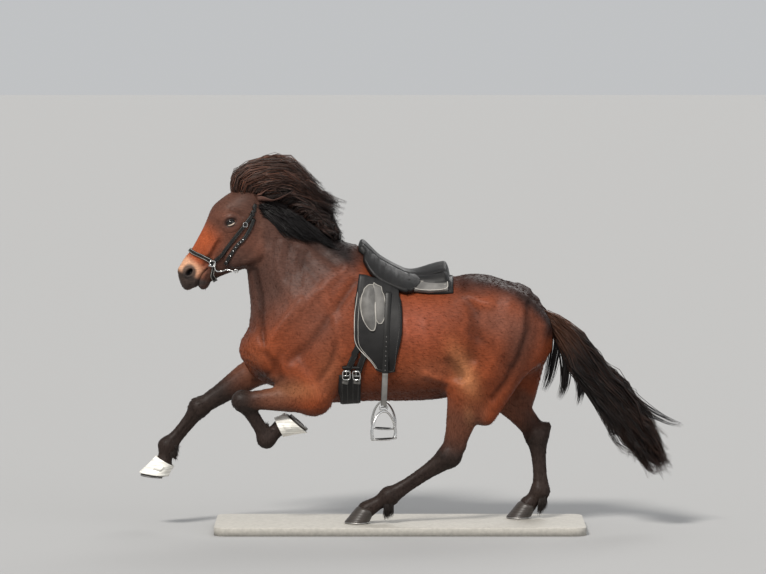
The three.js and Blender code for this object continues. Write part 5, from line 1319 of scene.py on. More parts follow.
for name, root, tip, open_way in EARS:
    points, faces, count = ear_shell(root, tip, open_way)
    inside = (np.arange(len(points)) % count) >= count // 2
    far = np.linspace(0, 1, len(points) // count).repeat(count)[:, None]
    # the inner wall of the shell is painted near black: painted shade inside the ear
    tone = np.where(inside[:, None], HOLLOW_SHADE, mix(EAR_BROWN, EAR_TIP, smooth(far, 0.55, 1)))
    piece = object_of("ear_shell_" + name, points, faces, lid_material, tone, root_uv(points))
    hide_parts("ear_" + name)
    a, b, along, face, aside = ear_frame(root, tip, open_way)
    count = 420
    share = random.uniform(0.0, 0.75, count)
    way = random.choice((-1, 1), count) * random.uniform(0.2, 1.0, count)
    half = np.interp(share, *zip(*EAR_WIDTHS))
    start = a + along * (np.linalg.norm(b - a) * share)[:, None]
    start += aside * (way * half * 0.8)[:, None] + face * (half * 0.25 - 2)[:, None]
    reach = random.uniform(9, 22, (count, 1))
    middle = start + along * reach * 0.6 + face * 5 - aside * way[:, None] * 3
    end = start + along * reach * 1.3 + face * 8 - aside * way[:, None] * 9
    strands("ear_hair_" + name, np.stack([start, middle, end], 1), 1.5, EAR_HAIR, 4, 0.3)


# Leather, rubber and metal
def leather(name, colour, rough, grain=1.0, coat=0.1):
    look = Look(name)
    cells = look.node("TexVoronoi", {"Vector": look.place, "Scale": 700.0 / grain}).outputs["Distance"]
    wear = look.noise(16.0, 5.0)
    look.set(
        Base_Color=look.scaled(colour, look.ramp(wear, 0.35, 0.7, 0.75, 1.5)),
        Roughness=look.ramp(wear, 0.3, 0.7, rough, rough + 0.2),
        Normal=look.bump(cells, 0.35, 0.0006 * grain),
        Specular_IOR_Level=0.3, Coat_Weight=coat, Coat_Roughness=0.3,
    )
    return look.material


def metal(name, colour, rough):
    look = Look(name)
    wear = look.noise(90.0, 4.0)
    dull = look.ramp(wear, 0.3, 0.7, rough, rough + 0.16)
    look.set(Base_Color=(*colour, 1), Metallic=1.0, Roughness=dull, Normal=look.bump(wear, 0.12, 0.0004))
    return look.material


def grained(name, colour, pattern, shades, rough, relief):
    """Horn, rubber or painted wood: a colour in the shades of a pattern of noise, with its relief."""
    look = Look(name)
    grain = look.noise(*pattern)
    shaded = look.scaled(colour, look.ramp(grain, 0.3, 0.7, *shades))
    look.set(Base_Color=shaded, Roughness=rough, Normal=look.bump(grain, *relief))
    return look.material


HORN_RINGS = dict(pattern=(1.0, 4.0, (12, 12, 260)), shades=(0.65, 1.4), rough=0.42, relief=(0.5, 0.001))
black_leather = leather("black_leather", (0.0055, 0.005, 0.005), 0.4, 1.6, 0.04)
strap_leather = leather("strap_leather", (0.006, 0.0055, 0.005), 0.36, 1.0, 0.06)
roll_leather = leather("roll_leather", (0.13, 0.125, 0.118), 0.5, 1.2, 0.05)
piping = leather("piping", (0.36, 0.34, 0.31), 0.45, 0.8, 0.1)
thread = leather("thread", (0.12, 0.115, 0.11), 0.6, 0.6, 0.0)
girth_web = leather("girth_web", (0.010, 0.0095, 0.0095), 0.6, 2.4, 0.0)
bright_steel = metal("bright_steel", (0.62, 0.62, 0.61), 0.16)
shoe_steel = metal("shoe_steel", (0.30, 0.29, 0.28), 0.38)
rubber = grained("boot_rubber", (0.80, 0.78, 0.72), **HORN_RINGS)
hoof_horn = grained("hoof_horn", (0.035, 0.028, 0.024), **HORN_RINGS)
tread_rubber = leather("tread_rubber", (0.02, 0.02, 0.02), 0.7, 2.0, 0.0)
base_paint = grained("base", (0.42, 0.40, 0.36), (60.0, 5.0), (0.86, 1.08), 0.62, (0.25, 0.0008))
# A slot named for each material, unless a piece names its own; add() looks it up but keeps it nowhere
SLOTS = {
    black_leather: "saddle_leather", strap_leather: "strap_leather", roll_leather: "roll_leather",
    piping: "roll_leather", thread: "strap_leather", girth_web: "strap_leather",
    bright_steel: "bright_steel", shoe_steel: "shoe_steel", rubber: "boot_rubber",
    tread_rubber: "boot_rubber", hoof_horn: "hoof", base_paint: "base",
}


def sheet(inner, outer):
    """A closed sheet between two grids of points."""
    inner, outer = np.asarray(inner), np.asarray(outer)
    rows, columns, _ = inner.shape
    far = rows * columns
    points = np.concatenate([inner.reshape(-1, 3), outer.reshape(-1, 3)])
    grid = np.arange(far).reshape(rows, columns)
    flat = np.stack([grid[:-1, :-1], grid[:-1, 1:], grid[1:, 1:], grid[1:, :-1]], -1).reshape(-1, 4)
    faces = [tuple(face) for face in flat[:, ::-1]] + [tuple(face + far) for face in flat]
    edge = [*grid[0, :], *grid[1:, -1], *grid[-1, -2::-1], *grid[-2:0:-1, 0]]
    return points, faces + [(a, b, b + far, a + far) for a, b in zip(edge, edge[1:] + edge[:1])]


def add(name, made, material, *nodes, slot=None):
    """A piece of tack, base or hoof, with its faces turned outwards, in place of the nodes named."""
    points, faces = made
    piece = object_of(name, points, [tuple(int(i) for i in face) for face in faces], material)
    bm = bmesh.new()
    bm.from_mesh(piece.data)
    bmesh.ops.recalc_face_normals(bm, faces=bm.faces)
    bm.to_mesh(piece.data)
    bm.free()
    if nodes:
        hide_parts(*nodes)
    slot or SLOTS[material]
    return piece


def draped(field, rows, columns, guess, low, high, edge=0.0):
    """A sheet that lies on the body, rounded down towards its rim over the share of its width in edge."""
    grid = np.meshgrid(np.linspace(0, 1, rows + 1), np.linspace(0, 1, columns + 1), indexing="ij")
    u, v = (a.ravel() for a in grid)
    start = np.array([guess(a, b) for a, b in zip(u, v)])
    levels = np.array([high(a, b) if callable(high) else high for a, b in zip(u, v)], float)
    if edge:
        rim = np.minimum(np.minimum(u, 1 - u) * rows / columns, np.minimum(v, 1 - v))
        levels -= (1 - np.sqrt(1 - np.square(1 - np.clip(rim / edge, 0, 1)))) * 4
    return sheet(*(onto(field, start, level).reshape(rows + 1, columns + 1, 3) for level in (low, levels)))


def lines_of(path, steps):
    return along_paths(np.array([path], float), steps)[0]


def tube(path, radius, steps, sides=10, flat=1.0, closed=False, out=(0, 1, 0)):
    """A bar along a path, with a round or flattened section, closed into a ring or capped at both ends."""
    line = np.array(path, float) if steps is None else lines_of(path, steps)
    along = unit(np.roll(line, -1, 0) - np.roll(line, 1, 0) if closed else np.gradient(line, axis=0))
    v = unit(np.array(out, float) - along * (along @ np.array(out, float))[:, None])
    w = np.cross(along, v)
    radius = np.broadcast_to(radius, len(line))[:, None, None]
    angle = np.linspace(0, 2 * math.pi, sides, endpoint=False)[:, None]
    rows = line[:, None] + radius * (np.cos(angle) * w[:, None] + np.sin(angle) * flat * v[:, None])
    if not closed:
        return capped(rows)
    points, faces = ring_grid(np.concatenate([rows, rows[:1]]))
    count = len(line) * sides
    return points[:count], [tuple(i % count for i in face) for face in faces]


def gather(*made):
    """Several closed meshes as one."""
    points, faces, count = [], [], 0
    for some, rings in made:
        points.append(some)
        faces += [tuple(i + count for i in ring) for ring in rings]
        count += len(some)
    return np.concatenate(points), faces


def strap(field, path, width, thickness, steps):
    """A strap that lies on the body along a path, with rounded edges."""
    line = onto(field, lines_of(path, steps), 0.0)
    along = unit(np.gradient(line, axis=0))
    across = unit(np.cross(along, unit(gradient(field, line))))
    shares = np.linspace(-0.5, 0.5, 7)
    start = (line[:, None] + across[:, None] * (shares * width)[:, None]).reshape(-1, 3)
    top = thickness - np.tile(np.where(np.abs(shares) > 0.45, 1.4, 0), steps + 1)
    return sheet(*(onto(field, start, level).reshape(steps + 1, 7, 3) for level in (-3.0, top)))


def stitches(field, path, level, length=4.4, gap=2.6, radius=0.55):
    """A row of raised stitches along a line that lies on the body."""
    line = onto(field, lines_of(path, 120), level)
    far = np.concatenate([[0], np.cumsum(np.linalg.norm(np.diff(line, axis=0), axis=1))])
    made = []
    for start in np.arange(0, far[-1] - length, length + gap):
        ends = [[np.interp(start + length * s, far, line[:, n]) for n in range(3)] for s in (0, 0.5, 1)]
        made.append(tube(ends, radius, None, 5))
    return gather(*made)


# Saddle
SEAT = dict(front=-198, back=236, waist=84, cantle=158, pommel=112)
FLAP = dict(top=1272, bottom=762, front=-190, back=10)
GIRTH = dict(x=-236, width=96, top=706, thickness=10)
RIBS = 262  # how far out a sheet's points start before they are laid on the ribs
SPINE_ROWS = [(row[0], row[1]) for row in TRUNK]
SPINE = spline(SPINE_ROWS, 12)


def beside_spine(x, offset):
    return x, offset * 0.96, float(np.interp(x, *zip(*SPINE_ROWS))) - offset * offset / 420


def raised(place, level):
    """A point over the back at a height above it, on one smooth curve from withers to loin."""
    x, y, _ = place
    return x, y * (1 + level / 500), float(np.interp(x, *SPINE.T)) - (y / 0.96) ** 2 / 420 + level


def ease(x, a, b):
    return float(smooth(np.float64(x), a, b))


def over(u):
    """The flap's height over the ribs."""
    return 15 + 13 * (1 - ease(u, 0, 0.35))


def girth_guess(u, v):
    turn = math.radians(mix(-64, 64, u))
    return GIRTH["x"] + (v - 0.5) * GIRTH["width"], math.sin(turn) * 250, 850 - math.cos(turn) * 240


def panel_guess(side, u, v):
    return beside_spine(mix(-120, 252, u), side * mix(34, 150 + 24 * u, v))


def panel_level(u, v):
    return 26 * math.sin(math.pi * mix(0.12, 0.88, u)) ** 0.4 * (0.6 + 0.4 * math.sin(math.pi * v))


def flap_guess(side, u, v):
    bulge = math.sin(math.pi * min(u * 0.92, 1)) * 34
    front = FLAP["front"] + 74 * ease(u, 0.7, 1) - bulge * (1 - ease(u, 0.75, 1))
    rear = FLAP["back"] - 34 * ease(u, 0.6, 1)
    return mix(front, rear, v), side * RIBS, mix(FLAP["top"], FLAP["bottom"] + 40 * (v - 0.5) ** 2, u)


def roll_guess(side, u, v):
    inset = 1 - 0.55 * (2 * abs(u - 0.5)) ** 3
    front = mix(-129, -153, math.sin(math.pi * u))
    return front + (78 - 16 * u) * (v - 0.5) * inset, side * RIBS, mix(1206, 968, u)


def second_guess(side, u, v):
    inset = 1 - 0.6 * (2 * abs(u - 0.5)) ** 3
    return -104 + (v - 0.5) * 58 * inset + 10 * u, side * RIBS, mix(1222, 1000, u)


def skirt_guess(side, u, v):
    swell = 1 - 0.5 * (2 * abs(u - 0.5)) ** 4
    return beside_spine(mix(-176, 96, u), side * mix(70, 70 + 118 * swell, v))


def pad_guess(side, u, v):
    return beside_spine(mix(60, 228, u), side * mix(118, 168, v))


def pad_level(u, v):
    return 27 + 5 * math.sin(math.pi * u) * math.sin(math.pi * v)


def roll_level(first, last, height, u, v):
    """A roll's height, which swells from the flap between the two places down it."""
    rise = math.sin(math.pi * mix(0.06, 0.94, v)) ** 0.8 * math.sin(math.pi * mix(0.05, 0.95, u)) ** 0.6
    return over(mix(first, last, u)) - 1 + height * rise


def seat_guess(u, v):
    half = mix(mix(SEAT["pommel"], SEAT["waist"], ease(u, 0, 0.35)), SEAT["cantle"], ease(u, 0.4, 0.85))
    blunt = math.sqrt(max(1 - (abs(u - 0.55) / 0.62) ** 6, 0.08))
    return beside_spine(mix(SEAT["front"], SEAT["back"], u), (v - 0.5) * 2 * half * blunt)


def seat_top(u, v):
    """The seat sags gently between pommel and cantle, with soft folds beside the seam."""
    aside = abs(v - 0.5) * 2
    crown = mix(52, 40, ease(u, 0, 0.3)) + 42 * ease(u, 0.5, 0.9)
    level = mix(26, crown, (1 - aside) ** 0.5 * (1 - 0.2 * ease(u, 0.95, 1)))
    return level - 2.2 * math.exp(-((aside - 0.62) / 0.05) ** 2) - 1.0 * math.exp(-((u - 0.5) / 0.02) ** 2)


def saddle_sheet(rows, columns, guess, low, high, rim):
    """A padded sheet over the back whose edges are rounded down to its underside."""
    under, upper = [], []
    for u in np.linspace(0, 1, rows + 1):
        for v in np.linspace(0, 1, columns + 1):
            near = min(min(u, 1 - u) * rows / columns, min(v, 1 - v)) / rim
            swell = math.sqrt(max(1 - (1 - min(near, 1)) ** 2, 0.04))
            under.append(raised(guess(u, v), low))
            upper.append(raised(guess(u, v), mix(low, high(u, v), swell)))
    return sheet(*(np.array(face).reshape(rows + 1, columns + 1, 3) for face in (under, upper)))


RIM = [(0, 0.5), (0.02, 0.15), (0.15, 0), (0.5, 0), (0.85, 0), (0.98, 0.15), (1, 0.5)]
RIM += [(u, 1 - v) for u, v in RIM[-2::-1]]


def rim_piping(name, guess, level, radius):
    """Piping round the rim of a padded piece, at its own height."""
    places = lines_of([(u, v, 0) for u, v in RIM], 120)[:, :2]
    start = np.array([guess(u, v) for u, v in places])
    line = onto(barrel, start, [level(u, v) + radius * 0.4 for u, v in np.clip(places, 0, 1)])
    add(name, tube(line, radius, None, 8), piping)


def piped(name, path, level, radius, slot=None):
    add(name, tube(onto(barrel, lines_of(path, 90), level), radius, None, 8), piping, slot=slot)


add("girth_strap", draped(barrel, 64, 10, girth_guess, -10, GIRTH["thickness"], 0.16), girth_web, "girth")
for row in (0.12, 0.37, 0.63, 0.88):
    seam = [girth_guess(u, row) for u in np.linspace(0.03, 0.97, 9)]
    add(f"girth_seam_{round(row * 100)}", stitches(barrel, seam, GIRTH["thickness"] + 0.2, 6, 3, 0.8), thread)

ROLLS = [
    # piece, nodes it replaces, guess, rows, columns, (its ends down the flap, swell), radius of its piping
    ("roll", ("knee_roll_",), roll_guess, 40, 20, (0.1, 0.6, 26), 2.6),
    ("roll_rear", (), second_guess, 36, 16, (0.05, 0.5, 13), 2.0),
]
BILLET = ((60, RIBS, 900), (36, RIBS, 840), (14, 250, 770), (0, 232, 712))
EDGE = (0.02, 0.15, 0.3, 0.45, 0.6, 0.75, 0.9, 0.97)
for side, name in SIDES:
    guess = partial(panel_guess, side)
    made = draped(barrel, 40, 16, guess, -8, panel_level, 0.2)
    panel = add("panel_" + name, made, black_leather, "saddle_panel_" + name)
    for i, x in enumerate((-258, -214)):
        path = [(x + ahead, side * out, z) for ahead, out, z in BILLET]
        made = strap(barrel, path, 30, 4 + GIRTH["thickness"], 24)
        add(f"girth_billet_{name}_{i + 1}", made, strap_leather, f"billet_{name}_{i + 1}")
        for edge, where in ((-11, "front"), (11, "back")):
            seam = [(a + edge, b, c) for a, b, c in path[1:]]
            add(f"billet_seam_{name}_{i + 1}_{where}", stitches(barrel, seam, 14.3, 4, 3, 0.5), thread)
    guess = partial(flap_guess, side)
    made = draped(barrel, 48, 26, guess, 6, lambda u, v: over(u), 0.06)
    add("flap_" + name, made, black_leather, "saddle_flap_" + name)
    piped("flap_piping_" + name, [guess(u, 0.03) for u in EDGE], over(0.5) + 1, 2.0)
    piped("flap_line_" + name, [guess(u, 0.10) for u in EDGE], over(0.5) + 0.6, 1.1)
    hem = [guess(0.97, v) for v in (0.05, 0.3, 0.6, 0.94)] + [guess(u, 0.95) for u in (0.8, 0.55, 0.3, 0.1)]
    made = stitches(barrel, hem, over(0.6) - 0.1, 5, 3, 0.7)
    add("flap_seam_" + name, made, thread, slot="saddle_leather")
    for part, nodes, guess_of, rows, columns, form, cord in ROLLS:
        guess, level = partial(guess_of, side), partial(roll_level, *form)
        made = draped(barrel, rows, columns, guess, 4, level)
        roll = add(f"{part}_{name}", made, roll_leather, *(node + name for node in nodes))
        rim_piping(f"{part}_piping_{name}", guess, level, cord)

seat = add("seat", saddle_sheet(84, 56, seat_guess, 2, seat_top, 0.1), black_leather, "saddle_seat")
for side, name in SIDES:
    v = 0.5 + side * 0.31
    seam = [seat_guess(u, v) for u in (0.06, 0.2, 0.35, 0.5, 0.65, 0.8, 0.92)]
    shares = np.linspace(0.06, 0.92, 61)
    line = [raised(place, seat_top(u, v) + 2.0) for u, place in zip(shares, lines_of(seam, 60))]
    add("seat_welt_" + name, tube(line, 1.6, None, 8), black_leather)
    guess = partial(skirt_guess, side)
    add("skirt_" + name, draped(barrel, 40, 20, guess, 6, lambda u, v: 37 - 6 * v, 0.05), black_leather)
    hem = [guess(u, 0.94) for u in (0.04, 0.2, 0.4, 0.6, 0.8, 0.96)]
    add("skirt_seam_" + name, stitches(barrel, hem, 31.2, 5, 3, 0.6), thread, slot="saddle_leather")
    rear = [seat_guess(u, 0.5 + side * 0.47) for u in (0.52, 0.62, 0.72, 0.82, 0.9, 0.96)]
    piped("seat_piping_" + name, rear, 26.5, 2.4, "saddle_leather")
    guess = partial(pad_guess, side)
    pad = add("rear_pad_" + name, draped(barrel, 22, 12, guess, 8, pad_level), roll_leather)
    rim_piping("rear_pad_piping_" + name, guess, pad_level, 2.0)


# Buckles, stirrup leathers and stirrups
def rounded_loop(at, out, width, height, wire):
    """A loop of wire with rounded corners that faces outwards, and its own axes."""
    n = unit(np.array(out, float))
    up = unit(np.array((0, 0, 1.0)) - n * n[2])
    across = np.cross(up, n)
    angle = np.linspace(0, 2 * math.pi, 40, endpoint=False)
    c, d = (np.sign(w) * np.abs(w) ** 0.5 for w in (np.cos(angle), np.sin(angle)))
    line = np.array(at) + across * (c * width / 2)[:, None] + up * (d * height / 2)[:, None]
    return tube(line, wire, None, 10, closed=True, out=n), (n, up, across)


STIRRUP = dict(x=-78, top=604, width=118, drop=150, turn=32)
LEATHER = dict(
    steps=48, start=1150, x=-56, widest=890, tab=772,
    wide=(-14, -12.5, 0, 12.5, 14), edge=(1.2, 0, 0, 0, 1.2),
)


def stirrup(side, y):
    """The iron with its tread and slot, and the tread's rubber ridges."""
    turn = math.radians(STIRRUP["turn"] * -side)
    half, drop, out = STIRRUP["width"] / 2, STIRRUP["drop"], (-math.sin(turn), math.cos(turn), 0)

    def place(a, b, z):
        return (STIRRUP["x"] + a * math.cos(turn) - b * math.sin(turn),
                y + a * math.sin(turn) + b * math.cos(turn), STIRRUP["top"] + z)

    bow = [(-half, -drop), (-half - 7, -112), (-half + 6, -62), (-26, -26), (0, -17)]
    bow += [(-a, z) for a, z in bow[-2::-1]]
    radii = 5 + 3 * np.linspace(-1, 1, 61) ** 2
    arch = tube([place(a, 0, z) for a, z in bow], radii, 60, 12, 1.2, out=out)
    across = [place(a, 0, -drop + 6 * (abs(a) / half) ** 3) for a in np.linspace(-half - 3, half + 3, 15)]
    tread = tube(across, 4.6, None, 14, 4.2, out=out)
    slot_bar, _ = rounded_loop(place(0, 0, 0), out, 40, 18, 4.4)
    bars = [[place(a, b, -drop + 6) for b in (-14, 14)] for a in np.linspace(-44, 44, 12)]
    ridges = [tube(bar, 2.2, None, 6) for bar in bars]
    return gather(arch, tread, slot_bar), gather(*ridges)


def stirrup_leather(side, name):
    """Both layers of the leather, the end of its strap and its holes; gives how far out it hangs."""
    steps, widest = LEATHER["steps"], LEATHER["widest"]
    z = np.linspace(LEATHER["start"], STIRRUP["top"] + 2, steps)
    start = np.stack([np.full(steps, -62.0), np.full(steps, float(side * RIBS)), np.maximum(z, widest)], 1)
    surface = onto(barrel, start, 27.0)[:, 1]
    far = surface[np.argmin(np.abs(z - widest))]
    x, y = np.linspace(LEATHER["x"], STIRRUP["x"], steps), np.where(z > widest, surface, far)

    def layer(depth, bend):
        out = (y + side * (depth - 12))[:, None] - side * np.array(LEATHER["edge"]) * bend
        return np.stack([x[:, None] + LEATHER["wide"], out, z[:, None].repeat(5, 1)], 2)

    add("leather_" + name, sheet(layer(0, -1), layer(5, 1)), strap_leather, "stirrup_leather_" + name)
    low = z < LEATHER["tab"]
    made = sheet(layer(5, 1)[low, 1:], layer(7.4, 1)[low, 1:])
    add("leather_end_" + name, made, roll_leather, slot="strap_leather")
    holes = []
    for level in np.linspace(782, 940, 8):
        at = (np.interp(-level, -z, x), np.interp(-level, -z, y) + side * -6.8, level)
        holes.append(ellipsoid(np.array(at), (2.4, 0.8, 3.0), 8, 6))
    add("leather_holes_" + name, gather(*holes), thread)
    return far


def girth_buckle(side, name, x):
    """A buckle with its roller and tongue, the billet's end below it and the keeper above."""
    at = onto(barrel, [(x, side * 240.0, 744)], 14.5)
    n = unit(gradient(barrel, at))[0]
    at = at[0]
    loop, (n, up, across) = rounded_loop(at + n * 3, n, 36, 46, 3.0)
    roller = tube([at + n * 4 + up * 23 + across * s for s in (-15, 15)], 4.2, None, 14)
    tongue = tube([at + n * 3 - up * 2, at + n * 6.5 + up * 10, at + n * 6 + up * 24], 1.8, 10, 8)
    middle = tube([at + n * 3 - up * 2 + across * s for s in (-18, 18)], 2.4, None, 10)
    add("girth_buckle_" + name, gather(loop, roller, tongue, middle), bright_steel, "buckle_" + name)
    tab = strap(barrel, [(x, side * 238, 742), (x, side * 232, 716), (x, side * 225, 688)], 32, 12.5, 12)
    add("girth_tab_" + name, tab, roll_leather, slot="strap_leather")
    keeper = [(x - 19, side * 240, 786), (x, side * 242, 787), (x + 19, side * 240, 788)]
    add("billet_keeper_" + name, strap(barrel, keeper, 10, 18, 10), strap_leather)


for side, name in SIDES:
    far = stirrup_leather(side, name)
    iron, ridges = stirrup(side, far - side * 9.5)
    add("iron_" + name, iron, bright_steel, "stirrup_" + name)
    add("iron_tread_" + name, ridges, tread_rubber)
    for i, x in enumerate((-252, -210)):
        girth_buckle(side, f"{name}_{i + 1}", x)

# Bridle and bit: x, z and how far out each point of a strap starts
STRAP = dict(width=17, thickness=6.5)
BIT = (-908, 1262)
SHANK = [(-884, 1272), (-872, 1234), (-848, 1226), (-822, 1242), (-790, 1246)]
CHEEK = [
    (-892, 1268, 60), (-855, 1308, 90), (-808, 1365, 90), (-760, 1427, 90), (-718, 1480, 90),
    (-690, 1516, 90), (-684, 1556, 70),
]
SECOND = [
    (-832, 1262, 70), (-798, 1322, 90), (-769, 1364, 90), (-741, 1391, 90), (-712, 1436, 90),
    (-688, 1484, 90),
]
NOSE = dict(middle=(-938, 1272), along=(-0.62, 0.78), lean=50, width=22, radius=62)
skull = field_of(head_lofts())


def nose_guess(u, v):
    angle = (u + 0.505) * 0.99 * math.pi * 2
    rear = NOSE["lean"] * math.sin(angle) ** 2
    across = (v - 0.5) * NOSE["width"]
    ahead = math.cos(angle) * NOSE["radius"]
    return (NOSE["middle"][0] + NOSE["along"][0] * ahead + rear * 0.9 - across * 0.78,
            math.sin(angle) * NOSE["radius"],
            NOSE["middle"][1] + NOSE["along"][1] * ahead + rear * 0.1 - across * 0.62)


def on_skull(side, x, z, level, start=70.0):
    return onto(skull, [(x, side * start, z)], level)[0]


add("nose_strap", draped(skull, 96, 6, nose_guess, -5, 8), strap_leather, "noseband")
for row, name in ((0.1, "upper"), (0.9, "lower")):
    line = onto(skull, [nose_guess(u, row) for u in np.linspace(0, 1, 121)], 8.4)
    add("nose_edge_" + name, tube(line, 0.9, None, 6), piping, slot="strap_leather")

steel_parts = []
for side, name in SIDES:
    straps = [[(x, side * y, z) for x, z, y in path] for path in (CHEEK, SECOND)]
    rows = (("cheek_", straps[0], 40, "cheekpiece_"), ("cheek_rear_", straps[1], 32, "cheek_strap_"))
    for part, path, steps, node in rows:
        made = strap(skull, path, STRAP["width"], STRAP["thickness"], steps)
        add(part + name, made, strap_leather, node + name)
    for part, path in zip(("front", "rear"), straps):
        for edge, where in ((-6, "low"), (6, "high")):
            seam = [(x + edge * 0.75, y, z - edge * 0.6) for x, y, z in path]
            made = stitches(skull, seam, STRAP["thickness"] + 0.2, 3, 2, 0.4)
            add(f"cheek_seam_{part}_{name}_{where}", made, thread)
    studs = onto(skull, lines_of(straps[1], 12)[1:8], STRAP["thickness"] + 0.6)
    add("cheek_studs_" + name, gather(*(ellipsoid(at, (3.2, 3.2, 3.2), 12, 8) for at in studs)), bright_steel)
    shank = onto(skull, [(x, side * 70.0, z) for x, z in SHANK], 15.0)
    upper_ring, _ = rounded_loop(on_skull(side, -890, 1272, 14.0), (0, side, 0), 26, 26, 2.6)
    end_ring, _ = rounded_loop(on_skull(side, -778, 1247, 15.0), (0, side, 0), 14, 14, 2.6)
    link = tube([(BIT[0], side * 62, BIT[1]), on_skull(side, -896, 1268, 14.0)], 4.5, 4, 10)
    steel_parts += [tube(shank, 3.6, 40, 10), upper_ring, end_ring, link]
    keeper = [(x, side * 90, z) for x, z in ((-709, 1511), (-700, 1505), (-691, 1499))]
    add("cheek_keeper_" + name, strap(skull, keeper, 8, 9, 8), strap_leather)
    at = on_skull(side, -735, 1459, STRAP["thickness"] + 1.5, 90.0)
    buckle, _ = rounded_loop(at, gradient(skull, at[None])[0], 20, 20, 1.5)
    add("cheek_buckle_" + name, buckle, bright_steel)
steel_parts.append(tube([(BIT[0], y, BIT[1]) for y in (-62, 0, 62)], 5.5, 12, 10))
add("curb_bit", gather(*steel_parts), bright_steel, "bit")

# Hooves, bell boots and shoes
SHOE = dict(thick=8, bevel=1.2, sweep=142)
BELL = [
    # height up the hoof, scale and distance outside it: up the outer face from the rim, and down inside
    (0.1, 1.02, 4), (0.1, 1.02, 12), (0.16, 1.0, 13.5), (0.3, 0.965, 13), (0.5, 0.92, 12.5), (0.7, 0.88, 12),
    (0.88, 0.845, 12), (0.94, 0.835, 14.5), (1.0, 0.825, 12.5), (1.06, 0.815, 14.5), (1.12, 0.81, 12.5),
    (1.18, 0.8, 14.5), (1.24, 0.795, 13), (1.3, 0.79, 14), (1.3, 0.79, 10), (1.1, 0.81, 7), (0.9, 0.84, 6),
    (0.5, 0.92, 3),
]


def hoof_reach(ahead, scale):
    return (HOOF["toe"] if ahead > 0 else HOOF["heel"] * 0.86) * scale


def hoof_ring(leg, height, scale, grow, count=48):
    """A ring round the hoof at a share of its height."""
    toe, up, sole = hoof_frame(leg)
    slope = math.tan(math.radians(HOOF["slope"]))
    ring = []
    for angle in np.linspace(0, 2 * math.pi, count, endpoint=False):
        ahead = math.cos(angle)
        reach = hoof_reach(ahead, scale) + grow
        wide = (HOOF["half"] * scale + grow) * (1 - 0.12 * ahead * ahead)
        lift = height * (HOOF["middle"] + ahead * reach * HOOF["rise"])
        aside = SIDE * math.sin(angle) * wide
        ring.append(sole + toe * (ahead * reach - lift / slope * 0.8) + aside + up * lift)
    return ring


def shoe(leg):
    """A flat iron open at the heel, with bevelled edges."""
    toe, up, sole = hoof_frame(leg)
    inner = []
    for angle in np.radians(np.linspace(-SHOE["sweep"], SHOE["sweep"], 40)):
        ahead, aside = math.cos(angle), SIDE * math.sin(angle)
        inner.append([sole + toe * ahead * (hoof_reach(ahead, scale) - 1) + aside * (HOOF["half"] * scale - 1)
                      for scale in (1.0, 0.97, 0.7, 0.66)])
    drop = SHOE["thick"] - np.array((SHOE["bevel"], 0, 0, SHOE["bevel"]))
    return sheet(inner, np.array(inner) - up * drop[:, None])


for leg, name in zip(LEGS, LEG_NAMES):
    rows = []
    for height in np.linspace(0, 1, 16):
        ripple = 0.5 * math.sin(height * 34)
        rows.append(hoof_ring(leg, height, mix(1.0, 0.84, height), ripple - 3 * ease(height, 0.94, 1)))
    add("horn_" + name, capped([*rows, hoof_ring(leg, 1.08, 0.74, 0)]), hoof_horn, "hoof_" + name)
    add("iron_shoe_" + name, shoe(leg), shoe_steel, "shoe_" + name)
for leg, name in zip(FORES, ("left", "right")):
    add("bell_" + name, ring_grid([hoof_ring(leg, *row) for row in BELL]), rubber, "bell_boot_" + name)
    rows = ((0.55, 0.91, 14), (0.75, 0.87, 14), (0.95, 0.83, 16))
    tab = np.array([hoof_ring(leg, *row, 72)[52:60] for row in rows])
    add("bell_tab_" + name, sheet(tab + SIDE, tab - SIDE * 2), rubber)

# Display base with rounded corners and a soft edge
BASE = dict(long=1760, wide=640, corner=60, edge=((0, 0), (0, 36), (0.6, 38), (1.8, 39.4), (4, BASE_TOP)))


def base_ring(inset, z):
    ring, corner = [], BASE["corner"]
    for cx, cy, start in ((1, 1, 0), (-1, 1, 90), (-1, -1, 180), (1, -1, 270)):
        x, y = cx * (BASE["long"] / 2 - corner), cy * (BASE["wide"] / 2 - corner)
        for a in np.radians(np.linspace(start, start + 90, 14)):
            ring.append((x + math.cos(a) * (corner - inset), y + math.sin(a) * (corner - inset), z))
    return ring


add("plinth", capped([base_ring(*row) for row in BASE["edge"]]), base_paint, "stand_base")
# Stage, light and camera
VIEW = dict(target=(-0.081, 0, 1.158), elevation=3.5, distance=24.0, lens=237.0)


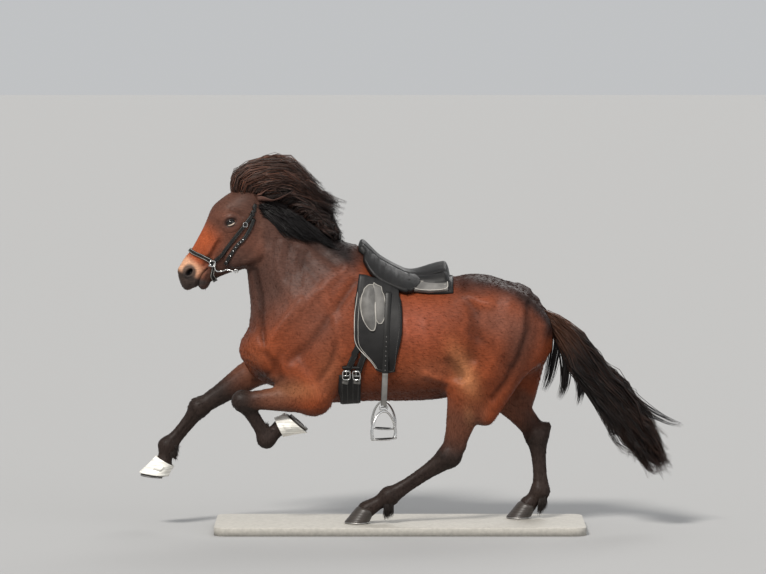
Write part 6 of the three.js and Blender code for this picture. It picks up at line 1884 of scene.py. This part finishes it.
def flat_box(name, low, high, material):
    corners = [(x, y, z) for x in (low[0], high[0]) for y in (low[1], high[1]) for z in (low[2], high[2])]
    faces = [(0, 1, 3, 2), (4, 6, 7, 5), (0, 4, 5, 1), (2, 3, 7, 6), (0, 2, 6, 4), (1, 5, 7, 3)]
    mesh = bpy.data.meshes.new(name)
    mesh.from_pydata(corners, [], faces)
    mesh.materials.append(material)
    made = bpy.data.objects.new(name, mesh)
    bpy.context.scene.collection.objects.link(made)
    return made


# A wide sky, and suns as soft as studio lamps; the floor's tone makes it as bright as the sky behind it
SKY = (0.53, 0.54, 0.55)
SUNS = [
    # name, direction to it, strength, width in degrees, colour
    ("key", (-0.30, -0.66, 0.68), 3.3, 12, (1.0, 0.965, 0.91)),
    ("fill", (0.75, -0.55, 0.36), 0.5, 50, (0.95, 0.97, 1.0)),
    ("rim", (0.25, 0.75, 0.62), 0.9, 30, (1.0, 0.99, 0.97)),
]
sky_level = sum(SKY) / 3
fall = sum(strength * way[2] / math.hypot(*way) for _, way, strength, _, _ in SUNS)
tone = [0.985 / (1 + fall / (math.pi * sky_level))] * 3
flat_box("floor", (-90, -90, -0.05), (90, 90, 0), plain("floor", tone, 1.0))

for name, way, strength, width, colour in SUNS:
    light = bpy.data.lights.new(name, "SUN")
    light.energy = strength
    light.angle = math.radians(width)
    light.color = colour
    lamp = bpy.data.objects.new(name, light)
    lamp.location = Vector(way) * 8
    lamp.rotation_euler = Vector(way).to_track_quat("Z", "Y").to_euler()
    bpy.context.scene.collection.objects.link(lamp)
world = bpy.data.worlds.new("studio")
world.use_nodes = True
world.node_tree.nodes["Background"].inputs["Color"].default_value = (*SKY, 1)
bpy.context.scene.world = world
bpy.context.scene.view_settings.view_transform = "Standard"

camera = bpy.data.objects.new("camera", bpy.data.cameras.new("camera"))
lift = math.radians(VIEW["elevation"])
back = Vector((0, -math.cos(lift), math.sin(lift)))
camera.location = Vector(VIEW["target"]) + back * VIEW["distance"]
camera.rotation_euler = (-back).to_track_quat("-Z", "Y").to_euler()
camera.data.lens = VIEW["lens"]
camera.data.sensor_width = 36
camera.data.clip_end = 200
bpy.context.scene.collection.objects.link(camera)
bpy.context.scene.camera = camera
